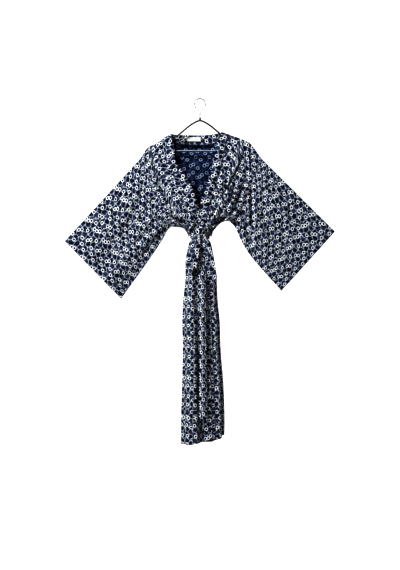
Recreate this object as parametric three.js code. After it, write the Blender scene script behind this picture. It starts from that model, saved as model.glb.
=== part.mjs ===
// A light cotton robe with wide sleeves, belted, on a slim clothes hanger.
// Millimetres, +Z up, the front faces -Y, the origin is where the rod carries the hook.
import * as THREE from "three";

const CLOTH = 2;            // wall of one layer of cloth
const DOUBLED = 2.6;        // wall of the belt, sewn from two layers
const SEAM = 0.4;           // each piece stops this far short of its seam
const BAND = 36;            // finished width of the neckband
const WAIST = { top: -562, middle: -579, low: -597, halfWide: 34.5, deep: 31 };
const UNDERARM = 0.77;      // share of the bodice above the underarm
const COLUMNS = 22;         // across a front, the neckband's two first
const BACK_COLUMNS = 30;

// rows of the bodice from the shoulder to the belt, then of the skirt down to the hem
const BODICE = [0, 0.008, 0.02, 0.07, 0.15, 0.23, 0.32, 0.41, 0.5, 0.59, 0.68, UNDERARM,
  0.82, 0.87, 0.91, 0.95, 1];
const SKIRT = [0.018, 0.05, 0.1, 0.17, 0.26, 0.36, 0.47, 0.59, 0.71, 0.83, 0.93, 1];
const ROWS = BODICE.length + 2 + SKIRT.length;
const WAIST_ROW = BODICE.length;        // the seam under the belt
const NECK_STATIONS = 15;

// free edge of each front in the bodice, the lean is the fall of the band per mm of its width
const UNDER_EDGE = [
  { t: 0, x: -123, z: -150, lean: -0.55 },
  { t: 0.02, x: -120.5, z: -159, lean: -0.55 },
  { t: 0.07, x: -115, z: -180, lean: -0.5 },
  { t: 0.15, x: -108, z: -221, lean: -0.3 },
  { t: 0.23, x: -107, z: -257, lean: -0.3 },
  { t: 0.32, x: -84, z: -297, lean: -0.45 },
  { t: 0.41, x: -60, z: -330, lean: -0.5 },
  { t: 0.5, x: -41, z: -366, lean: -0.5 },
  { t: 0.59, x: -25, z: -402, lean: -0.45 },
  { t: 0.68, x: -12, z: -441, lean: -0.35 },
  { t: 0.77, x: 0, z: -480, lean: -0.25 },
  { t: 0.87, x: 10, z: -518, lean: -0.15 },
  { t: 0.95, x: 16, z: -548, lean: -0.05 },
  { t: 1, x: 18, z: -562, lean: 0 },
];
const OVER_EDGE = [
  { t: 0, x: 92.7, z: -143, lean: -0.32 },
  { t: 0.02, x: 89, z: -153, lean: -0.32 },
  { t: 0.07, x: 75, z: -177, lean: -0.32 },
  { t: 0.15, x: 68, z: -221, lean: -0.25 },
  { t: 0.23, x: 61, z: -252, lean: -0.25 },
  { t: 0.32, x: 53, z: -288, lean: -0.3 },
  { t: 0.41, x: 43, z: -328, lean: -0.35 },
  { t: 0.5, x: 32, z: -362, lean: -0.35 },
  { t: 0.59, x: 18, z: -402, lean: -0.35 },
  { t: 0.68, x: 4, z: -442, lean: -0.3 },
  { t: 0.77, x: -3, z: -480, lean: -0.2 },
  { t: 0.87, x: -7, z: -520, lean: -0.1 },
  { t: 0.95, x: -8, z: -551, lean: -0.05 },
  { t: 1, x: -8, z: -562, lean: 0 },
];
// armhole, then the side seam as far as the belt
const UNDER_SIDE = [
  { t: 0, x: -255, z: -255 },
  { t: UNDERARM, x: -119, z: -544 },
  { t: 0.82, x: -104, z: -546.5 },
  { t: 0.87, x: -87, z: -548 },
  { t: 0.91, x: -72, z: -550 },
  { t: 0.95, x: -58, z: -557 },
  { t: 1, x: -34.5, z: -562 },
];
const OVER_SIDE = [
  { t: 0, x: 263, z: -255 },
  { t: UNDERARM, x: 126, z: -522 },
  { t: 0.82, x: 112, z: -521.5 },
  { t: 0.87, x: 94, z: -526 },
  { t: 0.91, x: 76, z: -539 },
  { t: 0.95, x: 56, z: -556 },
  { t: 1, x: 34.5, z: -562 },
];
// shoulder from the neckband to the top of the armhole
const UNDER_SHOULDER = [
  { t: 0, x: -153, z: -167 },
  { t: 0.26, x: -188, z: -191 },
  { t: 0.46, x: -214, z: -202 },
  { t: 0.56, x: -223, z: -208 },
  { t: 1, x: -255, z: -255 },
];
const OVER_SHOULDER = [
  { t: 0, x: 127, z: -154 },
  { t: 0.27, x: 174, z: -170 },
  { t: 0.52, x: 212, z: -188 },
  { t: 0.64, x: 226, z: -204 },
  { t: 1, x: 263, z: -255 },
];
// how far each layer stands from the middle plane, front, back and at the armhole
const CHEST = [
  { t: 0, front: 0, back: 0, arm: 0 },
  { t: 0.008, front: 6, back: 6, arm: 6 },
  { t: 0.02, front: 8, back: 8, arm: 8 },
  { t: 0.07, front: 9.5, back: 11, arm: 10 },
  { t: 0.15, front: 12, back: 15, arm: 12 },
  { t: 0.32, front: 19, back: 21, arm: 16 },
  { t: 0.5, front: 26, back: 27, arm: 16 },
  { t: 0.68, front: 31, back: 31, arm: 9 },
  { t: UNDERARM, front: 32, back: 32, arm: 0 },
  { t: 0.87, front: 33, back: 33, arm: 0 },
  { t: 1, front: 31, back: 31, arm: 0 },
];
// back of the neckband round the neck, its free edge above its seam
const NAPE = [
  { t: 0, x: -123, z: -150, y: 0, seamX: -153, seamZ: -167, seamY: 0 },
  { t: 0.1, x: -113, z: -150, y: 9, seamX: -139, seamZ: -177, seamY: 10 },
  { t: 0.24, x: -86, z: -150, y: 18, seamX: -102, seamZ: -185, seamY: 20 },
  { t: 0.42, x: -44, z: -150, y: 25, seamX: -50, seamZ: -190, seamY: 27 },
  { t: 0.58, x: -5, z: -150, y: 27, seamX: -4, seamZ: -191, seamY: 30 },
  { t: 0.74, x: 33, z: -149, y: 24, seamX: 42, seamZ: -187, seamY: 27 },
  { t: 0.88, x: 68, z: -146, y: 16, seamX: 84, seamZ: -178, seamY: 19 },
  { t: 0.95, x: 85, z: -144, y: 8, seamX: 111, seamZ: -166, seamY: 10 },
  { t: 1, x: 92.7, z: -143, y: 0, seamX: 127, seamZ: -154, seamY: 0 },
];
// outline of the skirt at each height, with the front edge and the share of gathers and folds
const FALL = [
  { z: -562, left: 34.5, right: 34.5, deep: 31, edge: -8, tuck: 10, gather: 2.4, fold: 0 },
  { z: -597, left: 34.5, right: 34.5, deep: 31, edge: -7, tuck: 10, gather: 2.4, fold: 0 },
  { z: -612, left: 44.5, right: 44.5, deep: 35, edge: -6, tuck: 10, gather: 2.4, fold: 0.1 },
  { z: -646, left: 53, right: 53, deep: 38, edge: -4, tuck: 11, gather: 2.2, fold: 0.25 },
  { z: -697, left: 62, right: 62, deep: 41, edge: -2, tuck: 12, gather: 1.6, fold: 0.45 },
  { z: -756, left: 61.5, right: 70, deep: 43, edge: 0, tuck: 13, gather: 1.1, fold: 0.6 },
  { z: -858, left: 71, right: 75, deep: 45, edge: 2, tuck: 13, gather: 0.5, fold: 0.75 },
  { z: -952, left: 75, right: 84, deep: 46, edge: 5, tuck: 13, gather: 0, fold: 0.85 },
  { z: -1071, left: 73, right: 88, deep: 47, edge: 8, tuck: 14, gather: 0, fold: 0.9 },
  { z: -1224, left: 75.5, right: 100, deep: 48.5, edge: 12, tuck: 14, gather: 0, fold: 1 },
  { z: -1360, left: 79.5, right: 104.5, deep: 50, edge: 16, tuck: 14, gather: 0, fold: 1 },
  { z: -1480, left: 80, right: 105, deep: 51, edge: 21, tuck: 14, gather: 0, fold: 1 },
];
const HEM = { left: -1475, edge: -1461, right: -1427, back: -1457 };
// soft folds of the skirt: place across the piece, half width, height in mm at the hem
const UNDER_FOLDS = [
  { at: 0.48, wide: 0.12, high: 5 },
  { at: 0.66, wide: 0.07, high: -6 },
  { at: 0.82, wide: 0.08, high: 4 },
];
const OVER_FOLDS = [
  { at: 0.3, wide: 0.13, high: 3 },
  { at: 0.52, wide: 0.07, high: -6 },
  { at: 0.7, wide: 0.08, high: 6 },
  { at: 0.87, wide: 0.06, high: -5 },
];
const BACK_FOLDS = [
  { at: 0.12, wide: 0.05, high: -9 },
  { at: 0.22, wide: 0.05, high: 8 },
  { at: 0.33, wide: 0.04, high: -14 },
  { at: 0.43, wide: 0.05, high: 8 },
  { at: 0.53, wide: 0.04, high: -15 },
  { at: 0.64, wide: 0.05, high: 9 },
  { at: 0.75, wide: 0.04, high: -13 },
  { at: 0.85, wide: 0.04, high: 8 },
];
// broad creases of the bodice, drawn in by the belt
const OVER_CREASES = [
  { at: 0.5, wide: 0.07, high: -5 },
  { at: 0.34, wide: 0.07, high: 4 },
  { at: 0.78, wide: 0.06, high: -4 },
];
const UNDER_CREASES = [
  { at: 0.3, wide: 0.08, high: 4 },
  { at: 0.52, wide: 0.07, high: -5 },
  { at: 0.74, wide: 0.06, high: 3 },
];

// sleeves: the fold along the arm, the lower fold, the cuff
const LEFT_SLEEVE = {
  side: UNDER_SIDE,
  tip: { x: -577, z: -607 },
  low: [
    { t: 0, x: -119, z: -544 },
    { t: 0.05, x: -137, z: -558 },
    { t: 0.16, x: -158, z: -596 },
    { t: 1, x: -337, z: -853 },
  ],
};
const RIGHT_SLEEVE = {
  side: OVER_SIDE,
  tip: { x: 576, z: -566 },
  low: [
    { t: 0, x: 126, z: -522 },
    { t: 0.05, x: 149, z: -545 },
    { t: 0.14, x: 171, z: -592 },
    { t: 0.26, x: 201, z: -647 },
    { t: 1, x: 348, z: -819 },
  ],
};
const SLEEVE_ROWS = [0, 0.05, 0.14, 0.26, 0.4, 0.55, 0.7, 0.85, 1];
const SLEEVE_DEPTH = [
  { t: 0, deep: 16 },
  { t: 0.14, deep: 18 },
  { t: 0.4, deep: 17 },
  { t: 0.7, deep: 14 },
  { t: 1, deep: 12 },
];
const SLEEVE_FOLDS = [
  { at: 0.3, wide: 0.1, high: 3 },
  { at: 0.55, wide: 0.09, high: -5 },
  { at: 0.76, wide: 0.08, high: 3 },
];

const BELT = { halfWide: 40.3, deep: 36.8, top: -563.5, low: -595.5, columns: 32 };
const KNOT = { x: -4, y: -48.75, z: -566, wide: 22, deep: 10.5, high: 21.5 };
const LOOPS = {
  belt_loop_left: [
    { t: 0, x: -9, wide: 21, z: -587.7, y: -54 },
    { t: 0.4, x: -20, wide: 38, z: -640, y: -60 },
    { t: 1, x: -37, wide: 48, z: -721, y: -62 },
  ],
  belt_loop_right: [
    { t: 0, x: 13, wide: 17, z: -583.6, y: -56 },
    { t: 0.4, x: 36, wide: 32, z: -660, y: -62 },
    { t: 1, x: 54, wide: 38, z: -773, y: -64 },
  ],
};
const LOOP_GAP = 5;
const TAILS = {
  belt_tail_long: [
    { t: 0, x: 2, wide: 34, z: -587.3, y: -46 },
    { t: 0.1, x: 8, wide: 40, z: -640, y: -50 },
    { t: 0.35, x: 11, wide: 28, z: -850, y: -56 },
    { t: 0.65, x: 13, wide: 30, z: -1100, y: -60 },
    { t: 0.85, x: 14, wide: 35, z: -1260, y: -62 },
    { t: 1, x: 15, wide: 36, z: -1352, y: -63 },
  ],
  belt_tail_short: [
    { t: 0, x: 6, wide: 32, z: -595.9, y: -39.8 },
    { t: 0.15, x: 9, wide: 34, z: -640, y: -45.9 },
    { t: 0.5, x: 13, wide: 30, z: -850, y: -52.5 },
    { t: 1, x: 16, wide: 34, z: -1040, y: -54.6 },
  ],
};
const TAIL_SLANT = 22;
const LABEL = { left: -55, right: 4, top: -158, low: -177, thick: 0.8 };

const HANGER = {
  high: 7.6,
  thick: 5,
  path: [
    { x: 0, z: -92 }, { x: -12, z: -95 }, { x: -26, z: -102 }, { x: -48, z: -116.5 },
    { x: -75, z: -139 }, { x: -97, z: -156.5 }, { x: -122, z: -169.5 }, { x: -151, z: -181 },
    { x: -188, z: -197.4 }, { x: -203, z: -204 }, { x: -209.5, z: -210 }, { x: -209, z: -217 },
    { x: -202, z: -221 }, { x: -188, z: -222 }, { x: -120, z: -222 }, { x: -50, z: -222 },
  ],
};
const HOOK = {
  path: [
    { x: 0, z: -88.15, r: 5 }, { x: 0, z: -80, r: 5 }, { x: 0, z: -78.5, r: 4.4 },
    { x: 0, z: -77.8, r: 1.9 }, { x: 0, z: -66, r: 1.9 }, { x: 1.5, z: -57, r: 1.9 },
    { x: 7, z: -48, r: 1.9 }, { x: 14, z: -41, r: 1.9 }, { x: 20, z: -33, r: 1.9 },
    { x: 22.4, z: -22, r: 1.9 }, { x: 20.4, z: -11, r: 1.9 }, { x: 15, z: -3.4, r: 1.9 },
    { x: 8, z: 0.6, r: 1.9 }, { x: 0, z: 1.9, r: 1.9 }, { x: -8, z: 0.6, r: 1.9 },
    { x: -15, z: -3.4, r: 1.9 }, { x: -20.4, z: -11, r: 1.9 }, { x: -22.4, z: -22, r: 1.9 },
    { x: -21, z: -31, r: 1.9 }, { x: -18.5, z: -36, r: 1.6 },
  ],
};

const mix = (a, b, t) => a + (b - a) * t;
const clamp = (v) => Math.min(1, Math.max(0, v));
const ease = (v) => clamp(v) ** 2 * (3 - 2 * clamp(v));
const round = (v) => Math.sqrt(1 - (1 - clamp(v)) ** 2);
const point = (x, y, z) => new THREE.Vector3(x, y, z);

// value of one column of a table at a place between its rows
function read(table, key, at, by = "t") {
  const sign = table[table.length - 1][by] > table[0][by] ? 1 : -1;
  let k = 1;
  while (k < table.length - 1 && sign * table[k][by] < sign * at) {
    k += 1;
  }
  const a = table[k - 1];
  const b = table[k];
  return mix(a[key], b[key], clamp((at - a[by]) / (b[by] - a[by])));
}

// the same, eased through the rows so that outlines run without corners
function run(table, key, at, by = "t", span = 0.02) {
  const back = read(table, key, at - span, by);
  const on = read(table, key, at, by);
  return (back + 2 * on + read(table, key, at + span, by)) / 4;
}

function folds(list, at) {
  return list.reduce((sum, f) => sum + f.high * Math.exp(-(((at - f.at) / f.wide) ** 2)), 0);
}

// points and normals of a sheet laid out in rows and columns
function sheet(points, closed = false) {
  const last = points.length - 1;
  const wide = points[0].length;
  const normals = points.map((row, i) =>
    row.map((p, j) => {
      const before = closed ? row[(j + wide - 1) % wide] : row[Math.max(j - 1, 0)];
      const after = closed ? row[(j + 1) % wide] : row[Math.min(j + 1, wide - 1)];
      const across = after.clone().sub(before);
      const down = points[Math.min(i + 1, last)][j].clone().sub(points[Math.max(i - 1, 0)][j]);
      const normal = across.cross(down);
      if (Math.abs(p.y) < 1e-6) {
        normal.y = 0;
      }
      return normal.normalize();
    }),
  );
  return { points, normals, closed };
}

function columns(whole, from, to) {
  const cut = (rows) => rows.map((row) => row.slice(from, to + 1));
  return { points: cut(whole.points), normals: cut(whole.normals), closed: false };
}

function rows(whole, from, to) {
  const cut = (list) => list.slice(from, to + 1);
  return { points: cut(whole.points), normals: cut(whole.normals), closed: whole.closed };
}

// draws the sheet's edges back from their seams
function inset(whole, seams) {
  const points = whole.points.map((row) => row.map((p) => p.clone()));
  const last = points.length - 1;
  const end = points[0].length - 1;
  const pull = (edge, inner, gap) => {
    edge.add(inner.clone().sub(edge).setLength(gap));
  };
  points.forEach((row) => {
    if (seams.left) {
      pull(row[0], row[1], seams.left);
    }
    if (seams.right) {
      pull(row[end], row[end - 1], seams.right);
    }
  });
  for (let j = 0; j <= end; j += 1) {
    if (seams.top) {
      pull(points[0][j], points[1][j], seams.top);
    }
    if (seams.low) {
      pull(points[last][j], points[last - 1][j], seams.low);
    }
  }
  return { points, normals: whole.normals, closed: whole.closed };
}

function solid(name, vertices, faces, material) {
  const geometry = new THREE.BufferGeometry();
  const volume = faces.reduce((sum, [a, b, c]) => {
    const cross = vertices[b].clone().cross(vertices[c]);
    return sum + vertices[a].dot(cross) / 6;
  }, 0);
  const index = faces.flatMap(([a, b, c]) => (volume < 0 ? [a, c, b] : [a, b, c]));
  const flat = vertices.flatMap((v) => [v.x, v.y, v.z]);
  geometry.setAttribute("position", new THREE.BufferAttribute(new Float32Array(flat), 3));
  geometry.setIndex(index);
  geometry.computeVertexNormals();
  const mesh = new THREE.Mesh(geometry, material);
  mesh.name = name;
  return mesh;
}

// a closed wall of the given thickness about a sheet
function wall(name, whole, thickness, material) {
  const { points, normals, closed } = whole;
  const rows = points.length;
  const wide = points[0].length;
  const vertices = [];
  [1, -1].forEach((side) => {
    points.forEach((row, i) => {
      row.forEach((p, j) => {
        vertices.push(p.clone().addScaledVector(normals[i][j], (side * thickness) / 2));
      });
    });
  });
  const at = (side, i, j) => side * rows * wide + i * wide + (j % wide);
  const faces = [];
  const quad = (a, b, c, d) => faces.push([a, b, c], [a, c, d]);
  const steps = closed ? wide : wide - 1;
  for (let i = 0; i < rows - 1; i += 1) {
    for (let j = 0; j < steps; j += 1) {
      quad(at(0, i, j), at(0, i + 1, j), at(0, i + 1, j + 1), at(0, i, j + 1));
      quad(at(1, i, j), at(1, i, j + 1), at(1, i + 1, j + 1), at(1, i + 1, j));
    }
    if (!closed) {
      quad(at(0, i, 0), at(1, i, 0), at(1, i + 1, 0), at(0, i + 1, 0));
      quad(at(0, i, wide - 1), at(0, i + 1, wide - 1), at(1, i + 1, wide - 1), at(1, i, wide - 1));
    }
  }
  for (let j = 0; j < steps; j += 1) {
    quad(at(0, 0, j), at(0, 0, j + 1), at(1, 0, j + 1), at(1, 0, j));
    quad(at(0, rows - 1, j), at(1, rows - 1, j), at(1, rows - 1, j + 1), at(0, rows - 1, j + 1));
  }
  return solid(name, vertices, faces, material);
}

const level = (z, key) => read(FALL, key, z, "z");

// one point of the skirt, turned by an angle from the middle of the front or back
function around(angle, z, face, lift) {
  const half = Math.sin(angle) < 0 ? level(z, "left") : level(z, "right");
  const x = half * Math.sin(angle);
  const y = face * level(z, "deep") * Math.cos(angle);
  const nx = Math.sin(angle) * level(z, "deep");
  const ny = face * half * Math.cos(angle);
  const size = Math.hypot(nx, ny);
  return point(x + (lift * nx) / size, y + (lift * ny) / size, z);
}

const zigzag = (j, n) => (j % 2 ? 1 : -1) * (0.7 + 0.3 * Math.sin(j * 2.4)) * (j < n ? 1 : 0);

// skirt of a front: hand is 1 for the one on top and -1 for the one under it
function frontFall(hand, j, z) {
  const half = hand > 0 ? level(z, "right") : level(z, "left");
  const hidden = mix(18, 44, ease((-600 - z) / 250));
  const edge = hand > 0 ? level(z, "edge") : -hidden;
  const start = Math.asin(edge / half);
  const band = Math.min(BAND / half, 0.4);
  const share = (j - 2) / (COLUMNS - 2);
  const angle = j <= 2 ? start + (band * j) / 2 : mix(start + band, Math.PI / 2, share);
  const bend = folds(hand > 0 ? OVER_FOLDS : UNDER_FOLDS, clamp(share)) * level(z, "fold");
  const fade = ease((1 - share) / 0.1) * ease(share / 0.1);
  const gather = j > 2 ? zigzag(j, COLUMNS) * level(z, "gather") : 0;
  const at = around(hand * angle, z, -1, (bend + gather) * fade);
  if (hand < 0) {
    at.y += level(z, "tuck") * ease((at.x - level(z, "edge") + 24) / 18);
  }
  return at;
}

function hemOf(hand, share) {
  return hand > 0 ? mix(HEM.edge, HEM.right, share ** 2) : HEM.left;
}

function frontPoint(hand, i, j) {
  const share = clamp((j - 2) / (COLUMNS - 2));
  if (i >= BODICE.length) {
    const step = i - BODICE.length;
    const low = hemOf(hand, clamp((j - 1) / (COLUMNS - 2)));
    const z = step < 2 ? [WAIST.middle, WAIST.low][step] : mix(WAIST.low, low, SKIRT[step - 2]);
    return frontFall(hand, j, z);
  }
  const t = BODICE[i];
  const edgeTable = hand > 0 ? OVER_EDGE : UNDER_EDGE;
  const sideTable = hand > 0 ? OVER_SIDE : UNDER_SIDE;
  const shoulder = hand > 0 ? OVER_SHOULDER : UNDER_SHOULDER;
  const lean = read(edgeTable, "lean", t);
  const reach = mix(BAND, 14, ease((t - 0.8) / 0.2)) / Math.hypot(1, lean);
  const edge = { x: read(edgeTable, "x", t), z: read(edgeTable, "z", t) };
  const seam = { x: edge.x + hand * reach, z: edge.z + lean * reach };
  const side = { x: read(sideTable, "x", t), z: read(sideTable, "z", t) };
  const top = { x: read(shoulder, "x", share), z: read(shoulder, "z", share) };
  const low = frontFall(hand, j, WAIST.top);
  const first = { x: shoulder[0].x, z: shoulder[0].z };
  const lastSeam = frontFall(hand, 2, WAIST.top);
  const drop = {
    x: (1 - t) * (top.x - mix(first.x, sideTable[0].x, share)),
    z: (1 - t) * (top.z - mix(first.z, sideTable[0].z, share)),
  };
  const pinch = t * (low.x - mix(lastSeam.x, sideTable[sideTable.length - 1].x, share));
  let x = mix(seam.x, side.x, share) + drop.x + pinch;
  let z = mix(seam.z, side.z, share) + drop.z;
  if (i === 0 && j >= 2) {
    x = top.x;
    z = top.z;
  }
  if (j < 2) {
    const from = i === 0 ? first : seam;
    x = mix(edge.x, from.x, j / 2);
    z = mix(edge.z, from.z, j / 2);
  }
  const arm = read(CHEST, "arm", t);
  let y = -mix(arm, read(CHEST, "front", t), round((1 - share) / 0.5));
  const crease = folds(hand > 0 ? OVER_CREASES : UNDER_CREASES, share);
  const gather = j > 2 ? zigzag(j, COLUMNS) * 2.4 * ease((t - 0.72) / 0.28) : 0;
  const fade = ease((1 - share) / 0.12) * ease(share / 0.1);
  y -= crease * fade * ease((t - 0.1) / 0.4) + gather * fade;
  if (hand < 0) {
    const over = read(OVER_EDGE, "x", t);
    const tuck = 10 * ease((-z - 385) / 60);
    y += tuck * ease((x - over + 24) / 18);
  }
  return point(x, i === 0 ? 0 : mix(y, low.y, ease((t - 0.9) / 0.1)), z);
}

function frontSheet(hand) {
  return sheet(
    Array.from({ length: ROWS }, (_, i) =>
      Array.from({ length: COLUMNS + 1 }, (_, j) => frontPoint(hand, i, j)),
    ),
  );
}

function napePoint(t, share) {
  const free = point(run(NAPE, "x", t), run(NAPE, "y", t), run(NAPE, "z", t));
  const seam = point(run(NAPE, "seamX", t), run(NAPE, "seamY", t), run(NAPE, "seamZ", t));
  return free.lerp(seam, share);
}

// top of the back: shoulder, round the neck, shoulder
function backTop(share) {
  const ends = 8 / BACK_COLUMNS;
  if (share < ends) {
    const at = 1 - share / ends;
    return point(read(UNDER_SHOULDER, "x", at), 0, read(UNDER_SHOULDER, "z", at));
  }
  if (share > 1 - ends) {
    const at = 1 - (1 - share) / ends;
    return point(read(OVER_SHOULDER, "x", at), 0, read(OVER_SHOULDER, "z", at));
  }
  return napePoint((share - ends) / (1 - 2 * ends), 1);
}

function backFall(share, z) {
  const angle = mix(-Math.PI / 2, Math.PI / 2, share);
  const fade = ease(share / 0.08) * ease((1 - share) / 0.08);
  const gather = zigzag(Math.round(share * BACK_COLUMNS), BACK_COLUMNS) * level(z, "gather");
  const bend = folds(BACK_FOLDS, share) * level(z, "fold");
  return around(angle, z, 1, (gather + bend) * fade);
}

function backPoint(i, j) {
  const share = j / BACK_COLUMNS;
  if (i >= BODICE.length) {
    const step = i - BODICE.length;
    const side = mix(HEM.left, HEM.right, share);
    const low = side + (HEM.back - (HEM.left + HEM.right) / 2) * Math.sin(Math.PI * share);
    const z = step < 2 ? [WAIST.middle, WAIST.low][step] : mix(WAIST.low, low, SKIRT[step - 2]);
    return backFall(share, z);
  }
  const t = BODICE[i];
  const left = { x: read(UNDER_SIDE, "x", t), z: read(UNDER_SIDE, "z", t) };
  const right = { x: read(OVER_SIDE, "x", t), z: read(OVER_SIDE, "z", t) };
  const top = backTop(share);
  const low = backFall(share, WAIST.top);
  const a = UNDER_SIDE[0];
  const b = OVER_SIDE[0];
  const foot = UNDER_SIDE[UNDER_SIDE.length - 1];
  const heel = OVER_SIDE[OVER_SIDE.length - 1];
  const x = mix(left.x, right.x, share) + (1 - t) * (top.x - mix(a.x, b.x, share)) +
    t * (low.x - mix(foot.x, heel.x, share));
  const z = mix(left.z, right.z, share) + (1 - t) * (top.z - mix(a.z, b.z, share));
  const edge = Math.min(share, 1 - share);
  const body = mix(read(CHEST, "arm", t), read(CHEST, "back", t), round(edge / 0.24));
  const neck = top.y * ease(1 - t / 0.4);
  const fade = ease(edge / 0.1);
  const gather = zigzag(j, BACK_COLUMNS) * 2.4 * ease((t - 0.72) / 0.28) * fade;
  const y = Math.max(body, neck) + gather;
  return point(x, i === 0 ? top.y : mix(y, low.y, ease((t - 0.9) / 0.1)), z);
}

function backSheet() {
  return sheet(
    Array.from({ length: ROWS }, (_, i) =>
      Array.from({ length: BACK_COLUMNS + 1 }, (_, j) => backPoint(i, j)),
    ),
  );
}

// neckband: up one front, round the neck, down the other
function bandSheet(over, under) {
  const stations = Array.from({ length: NECK_STATIONS }, (_, k) => 1 - k / (NECK_STATIONS - 1));
  const neck = sheet(stations.map((t) => [0, 0.5, 1].map((share) => napePoint(t, share))));
  const up = { points: over.points.slice(1).reverse(), normals: over.normals.slice(1).reverse() };
  const down = { points: under.points.slice(1), normals: under.normals.slice(1) };
  const strips = [[up, -1], [neck, 1], [down, -1]];
  const points = strips.flatMap(([strip]) => strip.points.map((row) => row.slice(0, 3)));
  const normals = strips.flatMap(([strip, face]) =>
    strip.normals.map((row) => {
      const flip = row[1].y * face < -0.3 * Math.abs(row[1].y) ? -1 : 1;
      return row.slice(0, 3).map((n) => n.clone().multiplyScalar(flip));
    }),
  );
  return { points, normals, closed: false };
}

function sleeveSheet(sleeve) {
  const rims = BODICE.filter((t) => t <= UNDERARM);
  const top = { x: sleeve.side[0].x, z: sleeve.side[0].z };
  const points = SLEEVE_ROWS.map((w) => {
    const head = { x: mix(top.x, sleeve.tip.x, w), z: mix(top.z, sleeve.tip.z, w) };
    const foot = { x: read(sleeve.low, "x", w), z: read(sleeve.low, "z", w) };
    const half = rims.map((t) => {
      const s = t / UNDERARM;
      const arm = read(CHEST, "arm", t);
      const shape = Math.min(arm, 16) / 16;
      const own = read(SLEEVE_DEPTH, "deep", w) * Math.max(shape, round(s / 0.06) * 0.6 * (s < 0.9));
      const bend = folds(SLEEVE_FOLDS, s) * ease(w / 0.3) * ease(s / 0.1) * ease((1 - s) / 0.15);
      const deep = mix(arm, own, ease(w / 0.1)) + bend;
      return { x: mix(head.x, foot.x, s), z: mix(head.z, foot.z, s), deep };
    });
    const front = half.map((p) => point(p.x, -p.deep, p.z));
    const back = half.slice(1, -1).reverse().map((p) => point(p.x, p.deep, p.z));
    front[0].y = 0;
    front[front.length - 1].y = 0;
    return [...front, ...back];
  });
  return sheet(points, true);
}

function beltSheet() {
  const heights = [BELT.top, (BELT.top + BELT.low) / 2, BELT.low];
  return sheet(
    heights.map((z, i) =>
      Array.from({ length: BELT.columns }, (_, j) => {
        const a = (2 * Math.PI * j) / BELT.columns;
        const swell = i === 1 ? 0.6 : 0;
        return point(
          (BELT.halfWide + swell) * Math.sin(a),
          -(BELT.deep + swell) * Math.cos(a),
          z,
        );
      }),
    ),
    true,
  );
}

function knot(material) {
  const rings = 8;
  const around = 14;
  const power = (v, p) => Math.sign(v) * Math.abs(v) ** p;
  const vertices = [point(KNOT.x, KNOT.y, KNOT.z + KNOT.high)];
  for (let i = 1; i < rings; i += 1) {
    const up = (Math.PI * i) / rings;
    for (let j = 0; j < around; j += 1) {
      const a = (2 * Math.PI * j) / around;
      vertices.push(point(
        KNOT.x + KNOT.wide * power(Math.sin(up), 1.25) * power(Math.sin(a), 0.8),
        KNOT.y - KNOT.deep * power(Math.sin(up), 0.7) * power(Math.cos(a), 0.8),
        KNOT.z + KNOT.high * power(Math.cos(up), 1.1),
      ));
    }
  }
  vertices.push(point(KNOT.x, KNOT.y, KNOT.z - KNOT.high));
  const end = vertices.length - 1;
  const at = (i, j) => 1 + (i - 1) * around + (j % around);
  const faces = [];
  for (let j = 0; j < around; j += 1) {
    faces.push([0, at(1, j), at(1, j + 1)], [end, at(rings - 1, j + 1), at(rings - 1, j)]);
    for (let i = 1; i < rings - 1; i += 1) {
      faces.push([at(i, j), at(i + 1, j), at(i + 1, j + 1)]);
      faces.push([at(i, j), at(i + 1, j + 1), at(i, j + 1)]);
    }
  }
  return solid("belt_knot", vertices, faces, material);
}

// a hanging loop: down in front, round the end, up behind
function loopSheet(table) {
  const steps = [0, 0.15, 0.35, 0.6, 0.85, 0.96, 1, 0.96, 0.85, 0.6, 0.35, 0.15];
  const fronts = [1, 1, 1, 1, 1, 0.7, 0, -0.7, -1, -1, -1, -1];
  const ring = steps.map((t, k) => ({ t, out: k === 0 ? 0 : fronts[k] }));
  return sheet(
    [-0.5, 0, 0.5].map((side) =>
      ring.map(({ t, out }) => point(
        read(table, "x", t) + side * read(table, "wide", t),
        read(table, "y", t) - out * LOOP_GAP * (0.45 + 0.55 * ease(t / 0.4)) + Math.abs(side) * 2,
        read(table, "z", t),
      )),
    ),
    true,
  );
}

function tailSheet(table) {
  const stations = Array.from({ length: 15 }, (_, k) => k / 14);
  return sheet(
    stations.map((t) =>
      [-0.5, -0.17, 0.17, 0.5].map((side) => point(
        read(table, "x", t) + side * read(table, "wide", t),
        read(table, "y", t) + 4 * side * side,
        read(table, "z", t) - TAIL_SLANT * (side + 0.5) * ease((t - 0.85) / 0.15),
      )),
    ),
  );
}

function labelSheet() {
  const across = [0, 0.25, 0.5, 0.75, 1];
  const spots = across.map((share) => {
    const x = mix(LABEL.left, LABEL.right, share);
    let t = 0.2;
    while (napePoint(t, 0.3).x < x) {
      t += 0.002;
    }
    return { x, t };
  });
  return sheet(
    [LABEL.top, LABEL.low].map((z) =>
      spots.map(({ x, t }) => {
        const share = (z + 150) / -41;
        return point(x, napePoint(t, share).y - CLOTH / 2 - 0.5 - LABEL.thick / 2, z);
      }),
    ),
  );
}

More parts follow.
